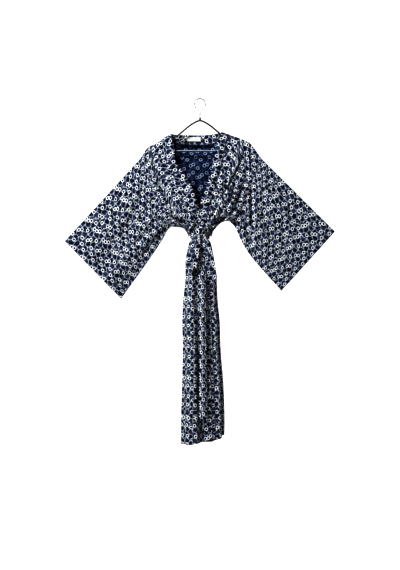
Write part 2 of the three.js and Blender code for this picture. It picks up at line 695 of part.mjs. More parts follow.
// a rod of oval section swept along a path in the plane of the hanger
function rod(name, path, high, thick, closed, sides, material) {
  const vertices = [];
  const count = path.length;
  path.forEach((p, k) => {
    const a = closed ? path[(k + count - 1) % count] : path[Math.max(k - 1, 0)];
    const b = closed ? path[(k + 1) % count] : path[Math.min(k + 1, count - 1)];
    const run = point(b.x - a.x, 0, b.z - a.z).normalize();
    const up = point(-run.z, 0, run.x);
    for (let j = 0; j < sides; j += 1) {
      const turn = (2 * Math.PI * (j + 0.5)) / sides;
      const r = p.r ?? 1;
      const at = point(p.x, 0, p.z).addScaledVector(up, r * high * Math.cos(turn));
      at.y = r * thick * Math.sin(turn);
      vertices.push(at);
    }
  });
  const at = (k, j) => (k % count) * sides + (j % sides);
  const faces = [];
  for (let k = 0; k < (closed ? count : count - 1); k += 1) {
    for (let j = 0; j < sides; j += 1) {
      faces.push([at(k, j), at(k + 1, j), at(k + 1, j + 1)]);
      faces.push([at(k, j), at(k + 1, j + 1), at(k, j + 1)]);
    }
  }
  if (!closed) {
    for (let j = 1; j < sides - 1; j += 1) {
      faces.push([at(0, 0), at(0, j), at(0, j + 1)]);
      faces.push([at(count - 1, 0), at(count - 1, j + 1), at(count - 1, j)]);
    }
  }
  return solid(name, vertices, faces, material);
}

const cotton = (color) => new THREE.MeshStandardMaterial({ color, roughness: 0.9, metalness: 0 });
const print = 0x3a4068;
const kimono = new THREE.Group();

const over = frontSheet(1);
const under = frontSheet(-1);
const back = backSheet();
const panels = {
  front_left: columns(over, 2, COLUMNS),
  front_right: columns(under, 2, COLUMNS),
  back,
};
Object.entries(panels).forEach(([name, whole]) => {
  const seams = { left: SEAM, right: SEAM, top: SEAM };
  const bodice = inset(rows(whole, 0, WAIST_ROW), { ...seams, low: SEAM / 2 });
  const skirt = inset(rows(whole, WAIST_ROW, ROWS - 1), { ...seams, top: SEAM / 2 });
  kimono.add(wall(name, bodice, CLOTH, cotton(print)));
  kimono.add(wall(`${name}_skirt`, skirt, CLOTH, cotton(print)));
});
// the neckband's lengths run on from each other: skirt, front, nape, front, skirt
const band = bandSheet(over, under);
const bandEnd = band.points.length - 1;
const waist = ROWS - 1 - WAIST_ROW;
const turn = ROWS - 3;
const lengths = {
  neckband_left_skirt: [0, waist],
  neckband_left: [waist, turn],
  neckband_back: [turn, bandEnd - turn],
  neckband_right: [bandEnd - turn, bandEnd - waist],
  neckband_right_skirt: [bandEnd - waist, bandEnd],
};
Object.entries(lengths).forEach(([name, [from, to]]) => {
  const ends = { top: from > 0 ? SEAM / 2 : 0, low: to < bandEnd ? SEAM / 2 : 0 };
  kimono.add(wall(name, inset(rows(band, from, to), { right: SEAM, ...ends }), CLOTH, cotton(print)));
});
kimono.add(wall("sleeve_left", inset(sleeveSheet(RIGHT_SLEEVE), { top: 4 * SEAM }), CLOTH, cotton(print)));
kimono.add(wall("sleeve_right", inset(sleeveSheet(LEFT_SLEEVE), { top: 4 * SEAM }), CLOTH, cotton(print)));
kimono.add(wall("belt_wrap", beltSheet(), DOUBLED, cotton(print)));
kimono.add(knot(cotton(print)));
Object.entries(LOOPS).forEach(([name, table]) => {
  kimono.add(wall(name, loopSheet(table), DOUBLED, cotton(print)));
});
Object.entries(TAILS).forEach(([name, table]) => {
  kimono.add(wall(name, tailSheet(table), DOUBLED, cotton(print)));
});
kimono.add(wall("label", labelSheet(), LABEL.thick, cotton(0xf2f2f0)));

const black = new THREE.MeshStandardMaterial({ color: 0x17171a, roughness: 0.55, metalness: 0 });
const steel = new THREE.MeshStandardMaterial({ color: 0xb9bcc0, roughness: 0.3, metalness: 1 });
const half = HANGER.path;
const mirrored = half.slice(1).reverse().map(({ x, z }) => ({ x: -x, z }));
const loop = [...half, { x: 0, z: -222 }, ...mirrored];
kimono.add(rod("hanger_body", loop, HANGER.high / 2, HANGER.thick / 2, true, 8, black));
kimono.add(rod("hanger_hook", HOOK.path, 1, 1, false, 10, steel));

export default kimono;
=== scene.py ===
import math

import bmesh
import bpy
import numpy as np
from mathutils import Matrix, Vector


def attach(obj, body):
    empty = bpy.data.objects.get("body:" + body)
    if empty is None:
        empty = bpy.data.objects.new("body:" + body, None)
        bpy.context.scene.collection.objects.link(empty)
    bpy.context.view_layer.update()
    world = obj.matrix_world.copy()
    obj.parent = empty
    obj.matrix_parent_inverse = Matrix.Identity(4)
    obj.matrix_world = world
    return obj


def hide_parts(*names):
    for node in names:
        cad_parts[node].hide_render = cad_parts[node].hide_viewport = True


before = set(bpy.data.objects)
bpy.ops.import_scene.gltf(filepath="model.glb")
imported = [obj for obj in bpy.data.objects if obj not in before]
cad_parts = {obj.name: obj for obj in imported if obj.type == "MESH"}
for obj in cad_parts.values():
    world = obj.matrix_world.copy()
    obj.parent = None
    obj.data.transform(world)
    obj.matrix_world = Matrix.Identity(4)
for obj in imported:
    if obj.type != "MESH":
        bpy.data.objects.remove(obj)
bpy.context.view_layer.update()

mm = 0.001


# small sums used all over

def mixed(a, b, t):
    return a + (b - a) * t


def eased(v):
    v = np.clip(v, 0, 1)
    return v * v * (3 - 2 * v)


def rounded(v):
    return np.sqrt(1 - (1 - np.clip(v, 0, 1)) ** 2)


def bell(v, middle, wide):
    return np.exp(-(((v - middle) / wide) ** 2))


def power(v, p):
    return np.sign(v) * np.abs(v) ** p


def fading(share, start, end):
    # 0 at both ends of a piece, 1 between
    return eased(share / start) * eased((1 - share) / end)


def joined(*parts):
    return np.stack(np.broadcast_arrays(*parts), -1)


def lengthAlong(points):
    steps = np.linalg.norm(np.diff(points, axis=0), axis=-1)
    return np.concatenate([0 * steps[:1], np.cumsum(steps, axis=0)])


def tracked(table, key, at, by="t"):
    # smooth curve through one column of a table, never past its values
    xs, ys = np.array(table[by], float), np.array(table[key], float)
    if xs[0] > xs[-1]:
        xs, ys = xs[::-1], ys[::-1]
    steps = np.diff(xs)
    slopes = np.diff(ys) / steps
    tangents = np.zeros_like(ys)
    product = slopes[:-1] * slopes[1:]
    total = slopes[:-1] + slopes[1:]
    tangents[1:-1] = np.where(product > 0, 2 * product / np.where(total == 0, 1, total), 0)
    tangents[0], tangents[-1] = slopes[0], slopes[-1]
    at = np.clip(at, xs[0], xs[-1])
    k = np.clip(np.searchsorted(xs, at, side="right") - 1, 0, len(steps) - 1)
    u = (at - xs[k]) / steps[k]
    a, b = ys[k], ys[k + 1]
    ta, tb = tangents[k] * steps[k], tangents[k + 1] * steps[k]
    return (a * (1 + 2 * u) + ta * u) * (1 - u) ** 2 + (b * (3 - 2 * u) - tb * (1 - u)) * u * u


# the robe's measures, in millimetres, front towards -Y, from the hook's inner top
robe = {
    "wall": 1.0,
    "doubled": 1.8,
    "band": 36,
    "bandAtBelt": 14,
    "bodice": 430,      # from shoulder to belt
    "settles": 0.9,     # share of the bodice below which it takes the belt's round
    "underarm": 0.77,   # share of the bodice's side that the sleeve is set in
    "grainTurns": 420,  # above the belt, over which the grain turns
    "beltTop": -562,
    "beltLow": -597,
    "hem": {"left": -1470, "edge": -1452, "right": -1417, "back": -1454, "dip": 9},
}
# t runs from the shoulder to the belt
edgeRows = [0, 0.02, 0.07, 0.15, 0.23, 0.32, 0.41, 0.5, 0.59, 0.68, 0.77, 0.87, 0.95, 1]
sideRows = [0, 0.77, 0.82, 0.87, 0.91, 0.95, 1]
fronts = {
    "under": {
        "edge": {
            "t": edgeRows,
            "x": [-123, -120.5, -115, -108, -107, -84, -60, -41, -25, -12, 0, 10, 16, 18],
            "z": [-150, -159, -180, -221, -257, -297, -330, -366, -402, -441, -480, -518,
                  -548, -562],
            "lean": [-0.55, -0.55, -0.5, -0.3, -0.3, -0.45, -0.5, -0.5, -0.45, -0.35, -0.25,
                     -0.15, -0.05, 0]},
        "side": {"t": sideRows, "x": [-255, -119, -104, -87, -72, -58, -34.5],
                 "z": [-255, -544, -546.5, -548, -550, -557, -562]},
        "shoulder": {"t": [0, 0.26, 0.46, 0.56, 1], "x": [-153, -188, -214, -223, -255],
                     "z": [-167, -191, -202, -208, -255]}},
    "over": {
        "edge": {
            "t": edgeRows,
            "x": [92.7, 89, 75, 68, 61, 53, 43, 32, 18, 4, -3, -7, -8, -8],
            "z": [-143, -153, -177, -221, -252, -288, -328, -362, -402, -442, -480, -520,
                  -551, -562],
            "lean": [-0.32, -0.32, -0.32, -0.25, -0.25, -0.3, -0.35, -0.35, -0.35, -0.3, -0.2,
                     -0.1, -0.05, 0]},
        "side": {"t": sideRows, "x": [263, 126, 112, 94, 76, 56, 34.5],
                 "z": [-255, -522, -521.5, -526, -539, -556, -562]},
        "shoulder": {"t": [0, 0.27, 0.52, 0.64, 1], "x": [127, 174, 212, 226, 263],
                     "z": [-154, -170, -188, -204, -255]}},
}
# distance from the robe's middle plane, in front, behind and at the side seam
chest = {
    "t": [0, 0.008, 0.02, 0.07, 0.15, 0.32, 0.5, 0.68, 0.77, 0.87, 1],
    "front": [0, 6, 8, 9.5, 12, 19, 26, 31, 32, 33, 31],
    "back": [0, 6, 8, 11, 15, 21, 27, 31, 32, 33, 31],
    "arm": [0, 6, 8, 10, 12, 16, 16, 9, 0, 0, 0],
}
# the collar's free edge and its seam, from the right shoulder round the neck to the left
nape = {
    "t": [0, 0.1, 0.24, 0.42, 0.58, 0.74, 0.88, 0.95, 1],
    "x": [-123, -113, -86, -44, -5, 33, 68, 85, 92.7],
    "y": [0, 9, 18, 25, 27, 24, 16, 8, 0],
    "z": [-150, -150, -150, -150, -150, -149, -146, -144, -143],
    "seamX": [-153, -139, -102, -50, -4, 42, 84, 111, 127],
    "seamY": [0, 10, 20, 27, 30, 27, 19, 10, 0],
    "seamZ": [-167, -177, -185, -190, -191, -187, -178, -166, -154],
}
# by height: half widths, depth, edge of the over front, tuck of the under one, share of folds
fall = {
    "z": [-562, -597, -612, -646, -697, -756, -858, -952, -1071, -1224, -1360, -1480],
    "left": [34.5, 34.5, 44.5, 53, 62, 61.5, 71, 75, 73, 75.5, 79.5, 80],
    "right": [34.5, 34.5, 44.5, 53, 62, 70, 75, 84, 88, 100, 104.5, 105],
    "deep": [31, 31, 35, 38, 41, 43, 45, 46, 47, 48.5, 50, 51],
    "edge": [-8, -7, -6, -4, -2, 0, 2, 5, 8, 12, 16, 21],
    "tuck": [10, 10, 10, 10, 11, 12, 13, 15, 18, 24, 28, 28],
    "fold": [0, 0, 0.1, 0.25, 0.45, 0.6, 0.75, 0.85, 0.9, 1, 1, 1],
}
# the under front passes behind the over one: how far past its edge, and over what distance
lap = {
    "bodice": {"deep": 10, "top": -385, "fade": 60, "past": 24, "across": 18},
    "skirt": {"atBelt": 18, "below": 44, "top": -600, "fade": 250, "past": 32, "across": 22},
}
# soft folds: place across the piece, half width, height in mm
skirtFolds = {
    "under": [(0.48, 0.12, 5), (0.66, 0.07, -6), (0.82, 0.08, 4)],
    "over": [(0.2, 0.06, -4), (0.4, 0.1, 6), (0.6, 0.055, -9), (0.73, 0.06, 3),
             (0.87, 0.05, -7)],
    "back": [(0.12, 0.05, -9), (0.22, 0.05, 8), (0.33, 0.04, -14), (0.43, 0.05, 8),
             (0.53, 0.04, -15), (0.64, 0.05, 9), (0.75, 0.04, -13), (0.85, 0.04, 8)],
}
chestFolds = {
    "under": [(0.3, 0.08, 4), (0.52, 0.07, -5), (0.74, 0.06, 3)],
    "over": [(0.5, 0.07, -5), (0.34, 0.07, 4), (0.78, 0.06, -4)],
}
# gathers under and over the belt: waves across a piece, reach along it, height, shift
gathers = {
    "over": [(11.5, 46, 1.9, 0.12), (6.3, 120, 2.3, 0.55), (3.6, 260, 2.2, 0.31)],
    "under": [(10.5, 46, 1.9, 0.4), (5.7, 120, 2.3, 0.05), (3.2, 260, 2.0, 0.62)],
    "back": [(23, 46, 1.9, 0.2), (13, 130, 2.6, 0.7), (7.3, 280, 2.6, 0.45)],
}
# the bodice bags over the belt beside the knot: reach in belt widths, drop in mm
bag = {
    "t": [0.88, 0.92, 0.94, 0.955, 0.968, 0.98, 0.986, 0.991, 0.994, 0.997, 1],
    "reach": [1.0, 1.22, 1.27, 1.25, 1.19, 1.12, 1.08, 1.06, 1.05, 0.93, 0.8],
    "drop": [0, 3, 6, 13, 23, 28, 20, 6, -3, -3, 0],
    "wide": 43, "deep": 40.5, "knotX": -4, "clear": 20, "fade": 16,
}
# the cloth under the back of the collar sinks in
napeHollow = {"deep": 13, "top": -192, "lip": 5, "low": -247, "slope": 48,
              "middle": -14, "reach": 84, "fade": 26}

# rows: bodice from the shoulder to the belt, the belt, the skirt to the hem
bodiceRows = np.concatenate([np.linspace(0, 0.03, 9)[:-1], np.linspace(0.03, 0.94, 92)[:-1],
                             np.linspace(0.94, 1, 22)])
beltRows = np.linspace(robe["beltTop"], robe["beltLow"], 9)[1:]
skirtRows = np.linspace(0, 1, 176)[1:] ** 1.12
bandColumns = np.linspace(0, 1, 9)
settled = eased((bodiceRows[:, None] - robe["settles"]) / (1 - robe["settles"]))


def folded(folds, at):
    return sum(high * bell(at, place, wide) for place, wide, high in folds)


def gathered(kind, share, away):
    # away is the distance from the belt, drift and swing keep the gathers from being alike
    drift = share + 0.03 * np.sin(9.1 * share + 0.8) + 0.014 * np.sin(23 * share + 2)
    total = 0
    for k, (waves, reach, high, shift) in enumerate(gathers[kind]):
        swing = drift + 0.012 * np.sin(away / 61 + waves * drift * 2) * (k > 0)
        wave = 1.5 * np.abs(np.cos(math.pi * (waves * swing + shift))) - 0.95
        start = 1 if k == 0 else 0.3
        grow = mixed(start, 1, eased(away / (60 * k + 1)))
        total = total + high * wave * grow * np.exp(-((away / reach) ** 1.4))
    return total


def bagged(x, y, z, t, share):
    # share of the full bag at each point, none at the knot; it reaches out before it drops
    out = np.hypot(x / bag["wide"], y / bag["deep"])
    wider = np.maximum(tracked(bag, "reach", t) / np.maximum(out, 0.2), 1) - 1
    grow = 1 + wider * eased(share / 0.3) * (t > robe["settles"])
    return joined(x * grow, y * grow, z - tracked(bag, "drop", t) * eased((share - 0.3) / 0.7))


def level(z, key):
    return tracked(fall, key, z, "z")


def fromBelt(z):
    return np.maximum(0, robe["beltLow"] - z) + np.maximum(0, z - robe["beltTop"])


def around(angle, z, face, lift):
    half = np.where(np.sin(angle) < 0, level(z, "left"), level(z, "right"))
    deep = level(z, "deep")
    nx, ny = np.sin(angle) * deep, face * half * np.cos(angle)
    size = np.hypot(nx, ny)
    x = half * np.sin(angle) + lift * nx / size
    y = face * deep * np.cos(angle) + lift * ny / size
    return x, y


def frontFall(kind, band, share, z):
    over, under = kind == "over", lap["skirt"]
    half = level(z, "right" if over else "left")
    reach = mixed(under["atBelt"], under["below"], eased((under["top"] - z) / under["fade"]))
    start = np.arcsin((level(z, "edge") if over else -reach) / half)
    strip = np.minimum(robe["band"] / half, 0.4)
    angle = mixed(start + strip * band, math.pi / 2, share)
    lift = folded(skirtFolds[kind], share) * level(z, "fold")
    lift = (lift + gathered(kind, share, fromBelt(z))) * fading(share, 0.08, 0.08)
    x, y = around(angle if over else -angle, z, -1, lift)
    if not over:
        past = x - level(z, "edge") + under["past"]
        y = y + level(z, "tuck") * eased(past / under["across"])
    return x, y


def skirtDepth(low, share):
    # heights down the belt and the skirt, for every column
    upper = np.broadcast_to(beltRows[:, None], (len(beltRows), share.shape[1]))
    return np.concatenate([upper, mixed(robe["beltLow"], low, skirtRows[:, None])])


def frontGrid(kind, band, share):
    edge, side, shoulder = (fronts[kind][key] for key in ("edge", "side", "shoulder"))
    over = kind == "over"
    band, share = band[None, :], share[None, :]
    t = bodiceRows[:, None]
    lean = tracked(edge, "lean", t)
    reach = mixed(robe["band"], robe["bandAtBelt"], eased((t - 0.8) / 0.2)) / np.hypot(1, lean)
    lowX, lowY = frontFall(kind, band, share, np.full_like(share, robe["beltTop"], float))
    footX, _ = frontFall(kind, np.ones((1, 1)), np.zeros((1, 1)),
                         np.full((1, 1), float(robe["beltTop"])))

    def across(key, inward, pinch=0):
        # from the free edge over the band's seam to the side
        free = tracked(edge, key, t)
        seam = mixed(free + inward * reach, shoulder[key][0], np.maximum(0, 1 - t / 0.012))
        drop = tracked(shoulder, key, share) - mixed(shoulder[key][0], side[key][0], share)
        cloth = mixed(seam, tracked(side, key, t), share) + (1 - t) * drop + t * pinch
        return np.where(share > 0, cloth, mixed(free, cloth, band))

    x = across("x", 1 if over else -1, (lowX - mixed(footX, side["x"][-1], share)) * (share > 0))
    z = across("z", lean)
    y = -mixed(tracked(chest, "arm", t), tracked(chest, "front", t), rounded((1 - share) / 0.5))
    raised = folded(chestFolds[kind], share) * eased((t - 0.1) / 0.4)
    raised = raised + gathered(kind, share, (1 - t) * robe["bodice"])
    y = y - raised * fading(share, 0.08, 0.1)
    if not over:
        under = lap["bodice"]
        past = x - tracked(fronts["over"]["edge"], "x", t) + under["past"]
        y = y + (under["deep"] * eased((under["top"] - z) / under["fade"])
                 * eased(past / under["across"]))
    y = mixed(y, lowY, settled)
    y = y * eased(t / 0.0005)
    beside = eased((np.abs(x - bag["knotX"]) - bag["clear"]) / bag["fade"])
    bodice = bagged(x, y, z, t, beside)
    hem = robe["hem"]
    along = np.clip(share + (band - 1) * 0.1 + 0.05, 0, 1)
    low = (mixed(hem["edge"], hem["right"], along ** 2) if over
           else hem["left"] + hem["dip"] * eased((0.52 - along) / 0.45))
    depth = skirtDepth(low, share)
    return np.concatenate([bodice, joined(*frontFall(kind, band, share, depth), depth)])


def napeStrip(t, share):
    free = joined(*(tracked(nape, key, t) for key in ("x", "y", "z")))
    seam = joined(*(tracked(nape, key, t) for key in ("seamX", "seamY", "seamZ")))
    return mixed(free, seam, share)


def backTop(share):
    # one shoulder, the nape, the other shoulder: 8, 14 and 8 of 30 parts
    ends = 8 / 30
    top = napeStrip((share - ends) / (1 - 2 * ends), 1.0)
    for kind, part in (("under", 1 - share / ends), ("over", 1 - (1 - share) / ends)):
        line = fronts[kind]["shoulder"]
        slope = joined(tracked(line, "x", part), 0 * share, tracked(line, "z", part))
        top = np.where((part > 0)[:, None], slope, top)
    return top


def backFall(share, z):
    lift = folded(skirtFolds["back"], share) * level(z, "fold")
    lift = (lift + gathered("back", share, fromBelt(z))) * fading(share, 0.05, 0.05)
    return around(mixed(-math.pi / 2, math.pi / 2, share), z, 1, lift)


def backGrid(share):
    top = backTop(share)[None]
    share = share[None, :]
    t = bodiceRows[:, None]
    lowX, lowY = backFall(share, np.full_like(share, robe["beltTop"], float))
    left, right = fronts["under"]["side"], fronts["over"]["side"]

    def sides(key, k=None):
        ends = [tracked(side, key, t) if k is None else side[key][k] for side in (left, right)]
        return mixed(*ends, share)

    x = sides("x") + (1 - t) * (top[..., 0] - sides("x", 0)) + t * (lowX - sides("x", -1))
    z = sides("z") + (1 - t) * (top[..., 2] - sides("z", 0))
    edge = np.minimum(share, 1 - share)
    body = mixed(tracked(chest, "arm", t), tracked(chest, "back", t), rounded(edge / 0.24))
    neck = top[..., 1] * eased(1 - t / 0.4)
    # the greater of the two, with the corner between them rounded
    gap, soft, corner = body - neck, 2, 1.39
    y = neck + np.log1p(np.exp(np.clip(gap, -40, 40) / soft)) * soft
    y = mixed(y, top[..., 1], 1 - eased(t / 0.006)) - corner * bell(gap, 0, 5)
    y = y + gathered("back", share, (1 - t) * robe["bodice"]) * eased(edge / 0.08)
    hollow = napeHollow
    y = y + (hollow["deep"] * eased((hollow["top"] - z) / hollow["lip"])
             * eased((z - hollow["low"]) / hollow["slope"])
             * eased((hollow["reach"] - np.abs(x - hollow["middle"])) / hollow["fade"]))
    y = mixed(y, lowY, settled)
    y = mixed(top[..., 1], y, eased(t / 0.0005))
    bodice = bagged(x, y, z, t, mixed(1, 0.7, eased(edge / 0.2)))
    hem = robe["hem"]
    low = (mixed(hem["left"], hem["right"], share)
           + (hem["back"] - (hem["left"] + hem["right"]) / 2) * np.sin(math.pi * share))
    depth = skirtDepth(low, share)
    return np.concatenate([bodice, joined(*backFall(share, depth), depth)])


def normalsOf(points, closed=False):
    across = (np.roll(points, -1, 1) - np.roll(points, 1, 1) if closed
              else np.gradient(points, axis=1))
    normal = np.cross(across, np.gradient(points, axis=0))
    return normal / np.maximum(np.linalg.norm(normal, axis=-1, keepdims=True), 1e-9)


def facing(points, normals, towards, closed):
    # a closed form faces away from its own middle
    away = points - points.mean(axis=1, keepdims=True) if closed else np.array(towards, float)
    return 1 if (normals * away).sum() > 0 else -1


def raisedFrom(points, height, towards, closed=False):
    normals = normalsOf(points, closed)
    return points + normals * facing(points, normals, towards, closed) * height


def furrow(points, strokes):
    # depth of the given creases at each point, read in the front view
    x, z = points[..., 0], points[..., 2]
    total = np.zeros(x.shape)
    for path, wide, deep, *ridge in strokes:
        path = np.array(path, float)
        start = lengthAlong(path)
        nearest, side, along = np.full(x.shape, 1e9), np.zeros(x.shape), np.zeros(x.shape)
        for k, size in enumerate(np.diff(start)):
            run = (path[k + 1] - path[k]) / size
            px, pz = x - path[k, 0], z - path[k, 1]
            on = np.clip(px * run[0] + pz * run[1], 0, size)
            dx, dz = px - on * run[0], pz - on * run[1]
            distance = np.hypot(dx, dz)
            closer = distance < nearest
            nearest = np.where(closer, distance, nearest)
            side = np.where(closer, np.sign(run[0] * dz - run[1] * dx), side)
            along = np.where(closer, (start[k] + on) / start[-1], along)
        signed = nearest * side
        lips = bell(signed, 2.2 * wide, 1.4 * wide) + bell(signed, -2.2 * wide, 1.4 * wide)
        shape = (ridge[0] if ridge else 0.4) * lips - bell(signed, 0, wide)
        total += deep * shape * np.sin(math.pi * np.clip(along, 0.02, 0.98)) ** 0.6
    return total


def clothMap(points, spec):
    # where each point lies on the flat cloth, with cloth hidden in the valleys between folds
    atBelt, atHem, start = spec["hidden"]
    hidden = np.concatenate([
        mixed(0, atBelt, eased((bodiceRows - start) / (1 - start))),
        np.full(len(beltRows), float(atBelt)), mixed(atBelt, atHem, eased(skirtRows / 0.5))])
    columns, valleys = points.shape[1], spec["valleys"]
    place, foldWide = np.linspace(0, 1, columns), 0.016
    steps = sum(eased((place - v + foldWide / 2) / foldWide) for v in valleys) / len(valleys)
    u = lengthAlong(np.swapaxes(points, 0, 1)).T + hidden[:, None] * steps
    u = u - u[:, [(columns - 1) // 2]]
    v = lengthAlong(points)
    for _ in range(60):  # a weft thread runs evenly over the gathers
        v[:, 1:-1] = (v[:, :-2] + 2 * v[:, 1:-1] + v[:, 2:]) / 4
    if spec["turn"]:
        # the cloth is drawn across towards the belt, so its grain turns above it
        v = v - v[len(bodiceRows)]
        angle = spec["turn"] * eased(-v / robe["grainTurns"])
        u, v = u * np.cos(angle) - v * np.sin(angle), u * np.sin(angle) + v * np.cos(angle)
    return joined(u, -v) * mm + spec["shift"]


def added(name, data):
    made = bpy.data.objects.new(name, data)
    bpy.context.collection.objects.link(made)
    return made


def meshFrom(name, points, faces, materials=(), edges=()):
    mesh = bpy.data.meshes.new(name)
    mesh.from_pydata((np.asarray(points, float).reshape(-1, 3) * mm).tolist(), edges, faces)
    for material in materials:
        mesh.materials.append(material)
    mesh.shade_smooth()
    return mesh


def numbered(rows, columns, closed):
    # the numbers of a grid's points, the first column again at the end of a closed form
    index = np.arange(rows * columns).reshape(rows, columns)
    return np.concatenate([index, index[:, :1]], 1) if closed else index


def cellCorners(grid):
    cells = np.stack([grid[:-1, :-1], grid[:-1, 1:], grid[1:, 1:], grid[1:, :-1]], 2)
    return cells.reshape(-1, 4, *grid.shape[2:])


def clothObject(name, points, uv, materials, towards=None, wall=None, closed=False):
    quads, corners = cellCorners(numbered(*points.shape[:2], closed)), cellCorners(uv)
    if facing(points, normalsOf(points, closed), towards, closed) < 0:
        quads, corners = quads[:, ::-1], corners[:, ::-1]
    mesh = meshFrom(name, points, quads.tolist(), materials)
    layer = mesh.uv_layers.new(name="cloth")
    layer.data.foreach_set("uv", corners.reshape(-1).astype(np.float32))
    piece = added(name, mesh)
    if wall:
        thick = piece.modifiers.new("wall", "SOLIDIFY")
        thick.thickness = wall * mm
        thick.offset = 0
        thick.material_offset = len(materials) - 1
        thick.material_offset_rim = 0
    return piece


def addNode(tree, kind, settings=None, inputs=None):
    # settings first, then the values or links of its sockets
    made = tree.nodes.new(kind)
    for key, value in (settings or {}).items():
        setattr(made, key, value)
    for key, value in (inputs or {}).items():
        if isinstance(value, bpy.types.NodeSocket):
            tree.links.new(value, made.inputs[key])
        else:
            made.inputs[key].default_value = value
    return made


class Wire:
    # a socket that takes part in Python sums
    def __init__(self, finish, socket):
        self.finish, self.socket = finish, socket

    def __add__(self, other):
        return self.finish.sum("ADD", self, other)

    def __sub__(self, other):
        return self.finish.sum("SUBTRACT", self, other)

    def __rsub__(self, other):
        return self.finish.sum("SUBTRACT", other, self)

    def __mul__(self, other):
        return self.finish.sum("MULTIPLY", self, other)

    __radd__, __rmul__ = __add__, __mul__


class Finish:
    def __init__(self, name):
        self.material = bpy.data.materials.new(name)
        self.material.use_nodes = True
        self.tree = self.material.node_tree
        self.tree.nodes.clear()

    def node(self, kind, settings=None, inputs=None, output=0):
        sockets = {key: value.socket if isinstance(value, Wire) else value
                   for key, value in (inputs or {}).items()}
        made = addNode(self.tree, kind, settings, sockets)
        return Wire(self, made.outputs[output]) if len(made.outputs) else made

    def sum(self, operation, a, b=0.0, clamp=False):
        return self.node("ShaderNodeMath", {"operation": operation, "use_clamp": clamp},
                         {0: a, 1: b})

    def vector(self, operation, *values):
        output = 1 if operation == "LENGTH" else 0
        return self.node("ShaderNodeVectorMath", {"operation": operation},
                         dict(enumerate(values)), output)

    def axis(self, vector, k):
        return self.node("ShaderNodeSeparateXYZ", None, {0: vector}, k)

    def place(self):
        # Object coordinates
        return self.node("ShaderNodeTexCoord", None, None, 3)

    def ramped(self, value, steepness):
        # 0 below zero, 1 past one over the steepness
        return self.sum("MULTIPLY", value, steepness, clamp=True)

    def inside(self, distance, edge, soft):
        # 1 within the edge, 0 beyond it
        return self.ramped(edge - distance + soft / 2, 1 / soft)

    def blend(self, factor, a, b):
        return self.node("ShaderNodeMix", {"data_type": "RGBA"},
                         {"Factor": factor, 6: a, 7: b}, 2)

    def noise(self, where, scale, detail, rough, output=0):
        return self.node("ShaderNodeTexNoise", {"noise_dimensions": "3D"},
                         {"Vector": where, "Scale": scale, "Detail": detail,
                          "Roughness": rough}, output)

    def bump(self, height, strength, distance, under=None):
        inputs = {"Height": height, "Strength": strength, "Distance": distance}
        if under is not None:
            inputs["Normal"] = under
        return self.node("ShaderNodeBump", None, inputs)

    def surface(self, values):
        shader = self.node("ShaderNodeBsdfPrincipled", None, values)
        self.node("ShaderNodeOutputMaterial", None, {"Surface": shader})
        return self.material


def rgb(red, green, blue):
    # 0 to 255 as seen, to scene values
    return tuple(((v / 255 + 0.055) / 1.055) ** 2.4 if v > 10 else v / 3294.6
                 for v in (red, green, blue)) + (1.0,)


# a small repeat of netted cells with loose rings, charted in mm
printChart = {
    "across": 59,
    "along": 167,
    "cells": [(8, 13), (11, 37), (7, 59), (10, 85), (6, 109), (11, 133), (8, 154),
              (30, 2), (27, 25), (31, 48), (26, 72), (30, 95), (28, 121), (32, 145),
              (50, 14), (47, 36), (52, 61), (48, 84), (51, 107), (47, 131), (53, 156)],
    "rings": [(7, 10), (20, 12), (30, 21), (51, 30), (13, 50), (42, 60), (54, 65),
              (28, 87), (7, 99), (49, 116), (16, 127), (25, 137), (46, 152)],
    "beads": [(36, 42), (12, 73), (22, 158), (36, 106), (2, 142)],
    "ringRadius": 7.2,
    "dotRadius": 4.5,
    "beadRadius": 3.0,
    "netWidth": 2.4,
    "paleRadius": 10.8,
}
printColours = {
    "face": {"cell": rgb(16, 22, 45), "pale": rgb(60, 66, 94), "net": rgb(190, 197, 210),
             "ring": rgb(255, 255, 255), "dot": rgb(1, 1, 4)},
    "reverse": {"cell": rgb(12, 21, 49), "pale": rgb(27, 40, 72), "net": rgb(62, 80, 116),
                "ring": rgb(158, 172, 198), "dot": rgb(5, 8, 20)},
}


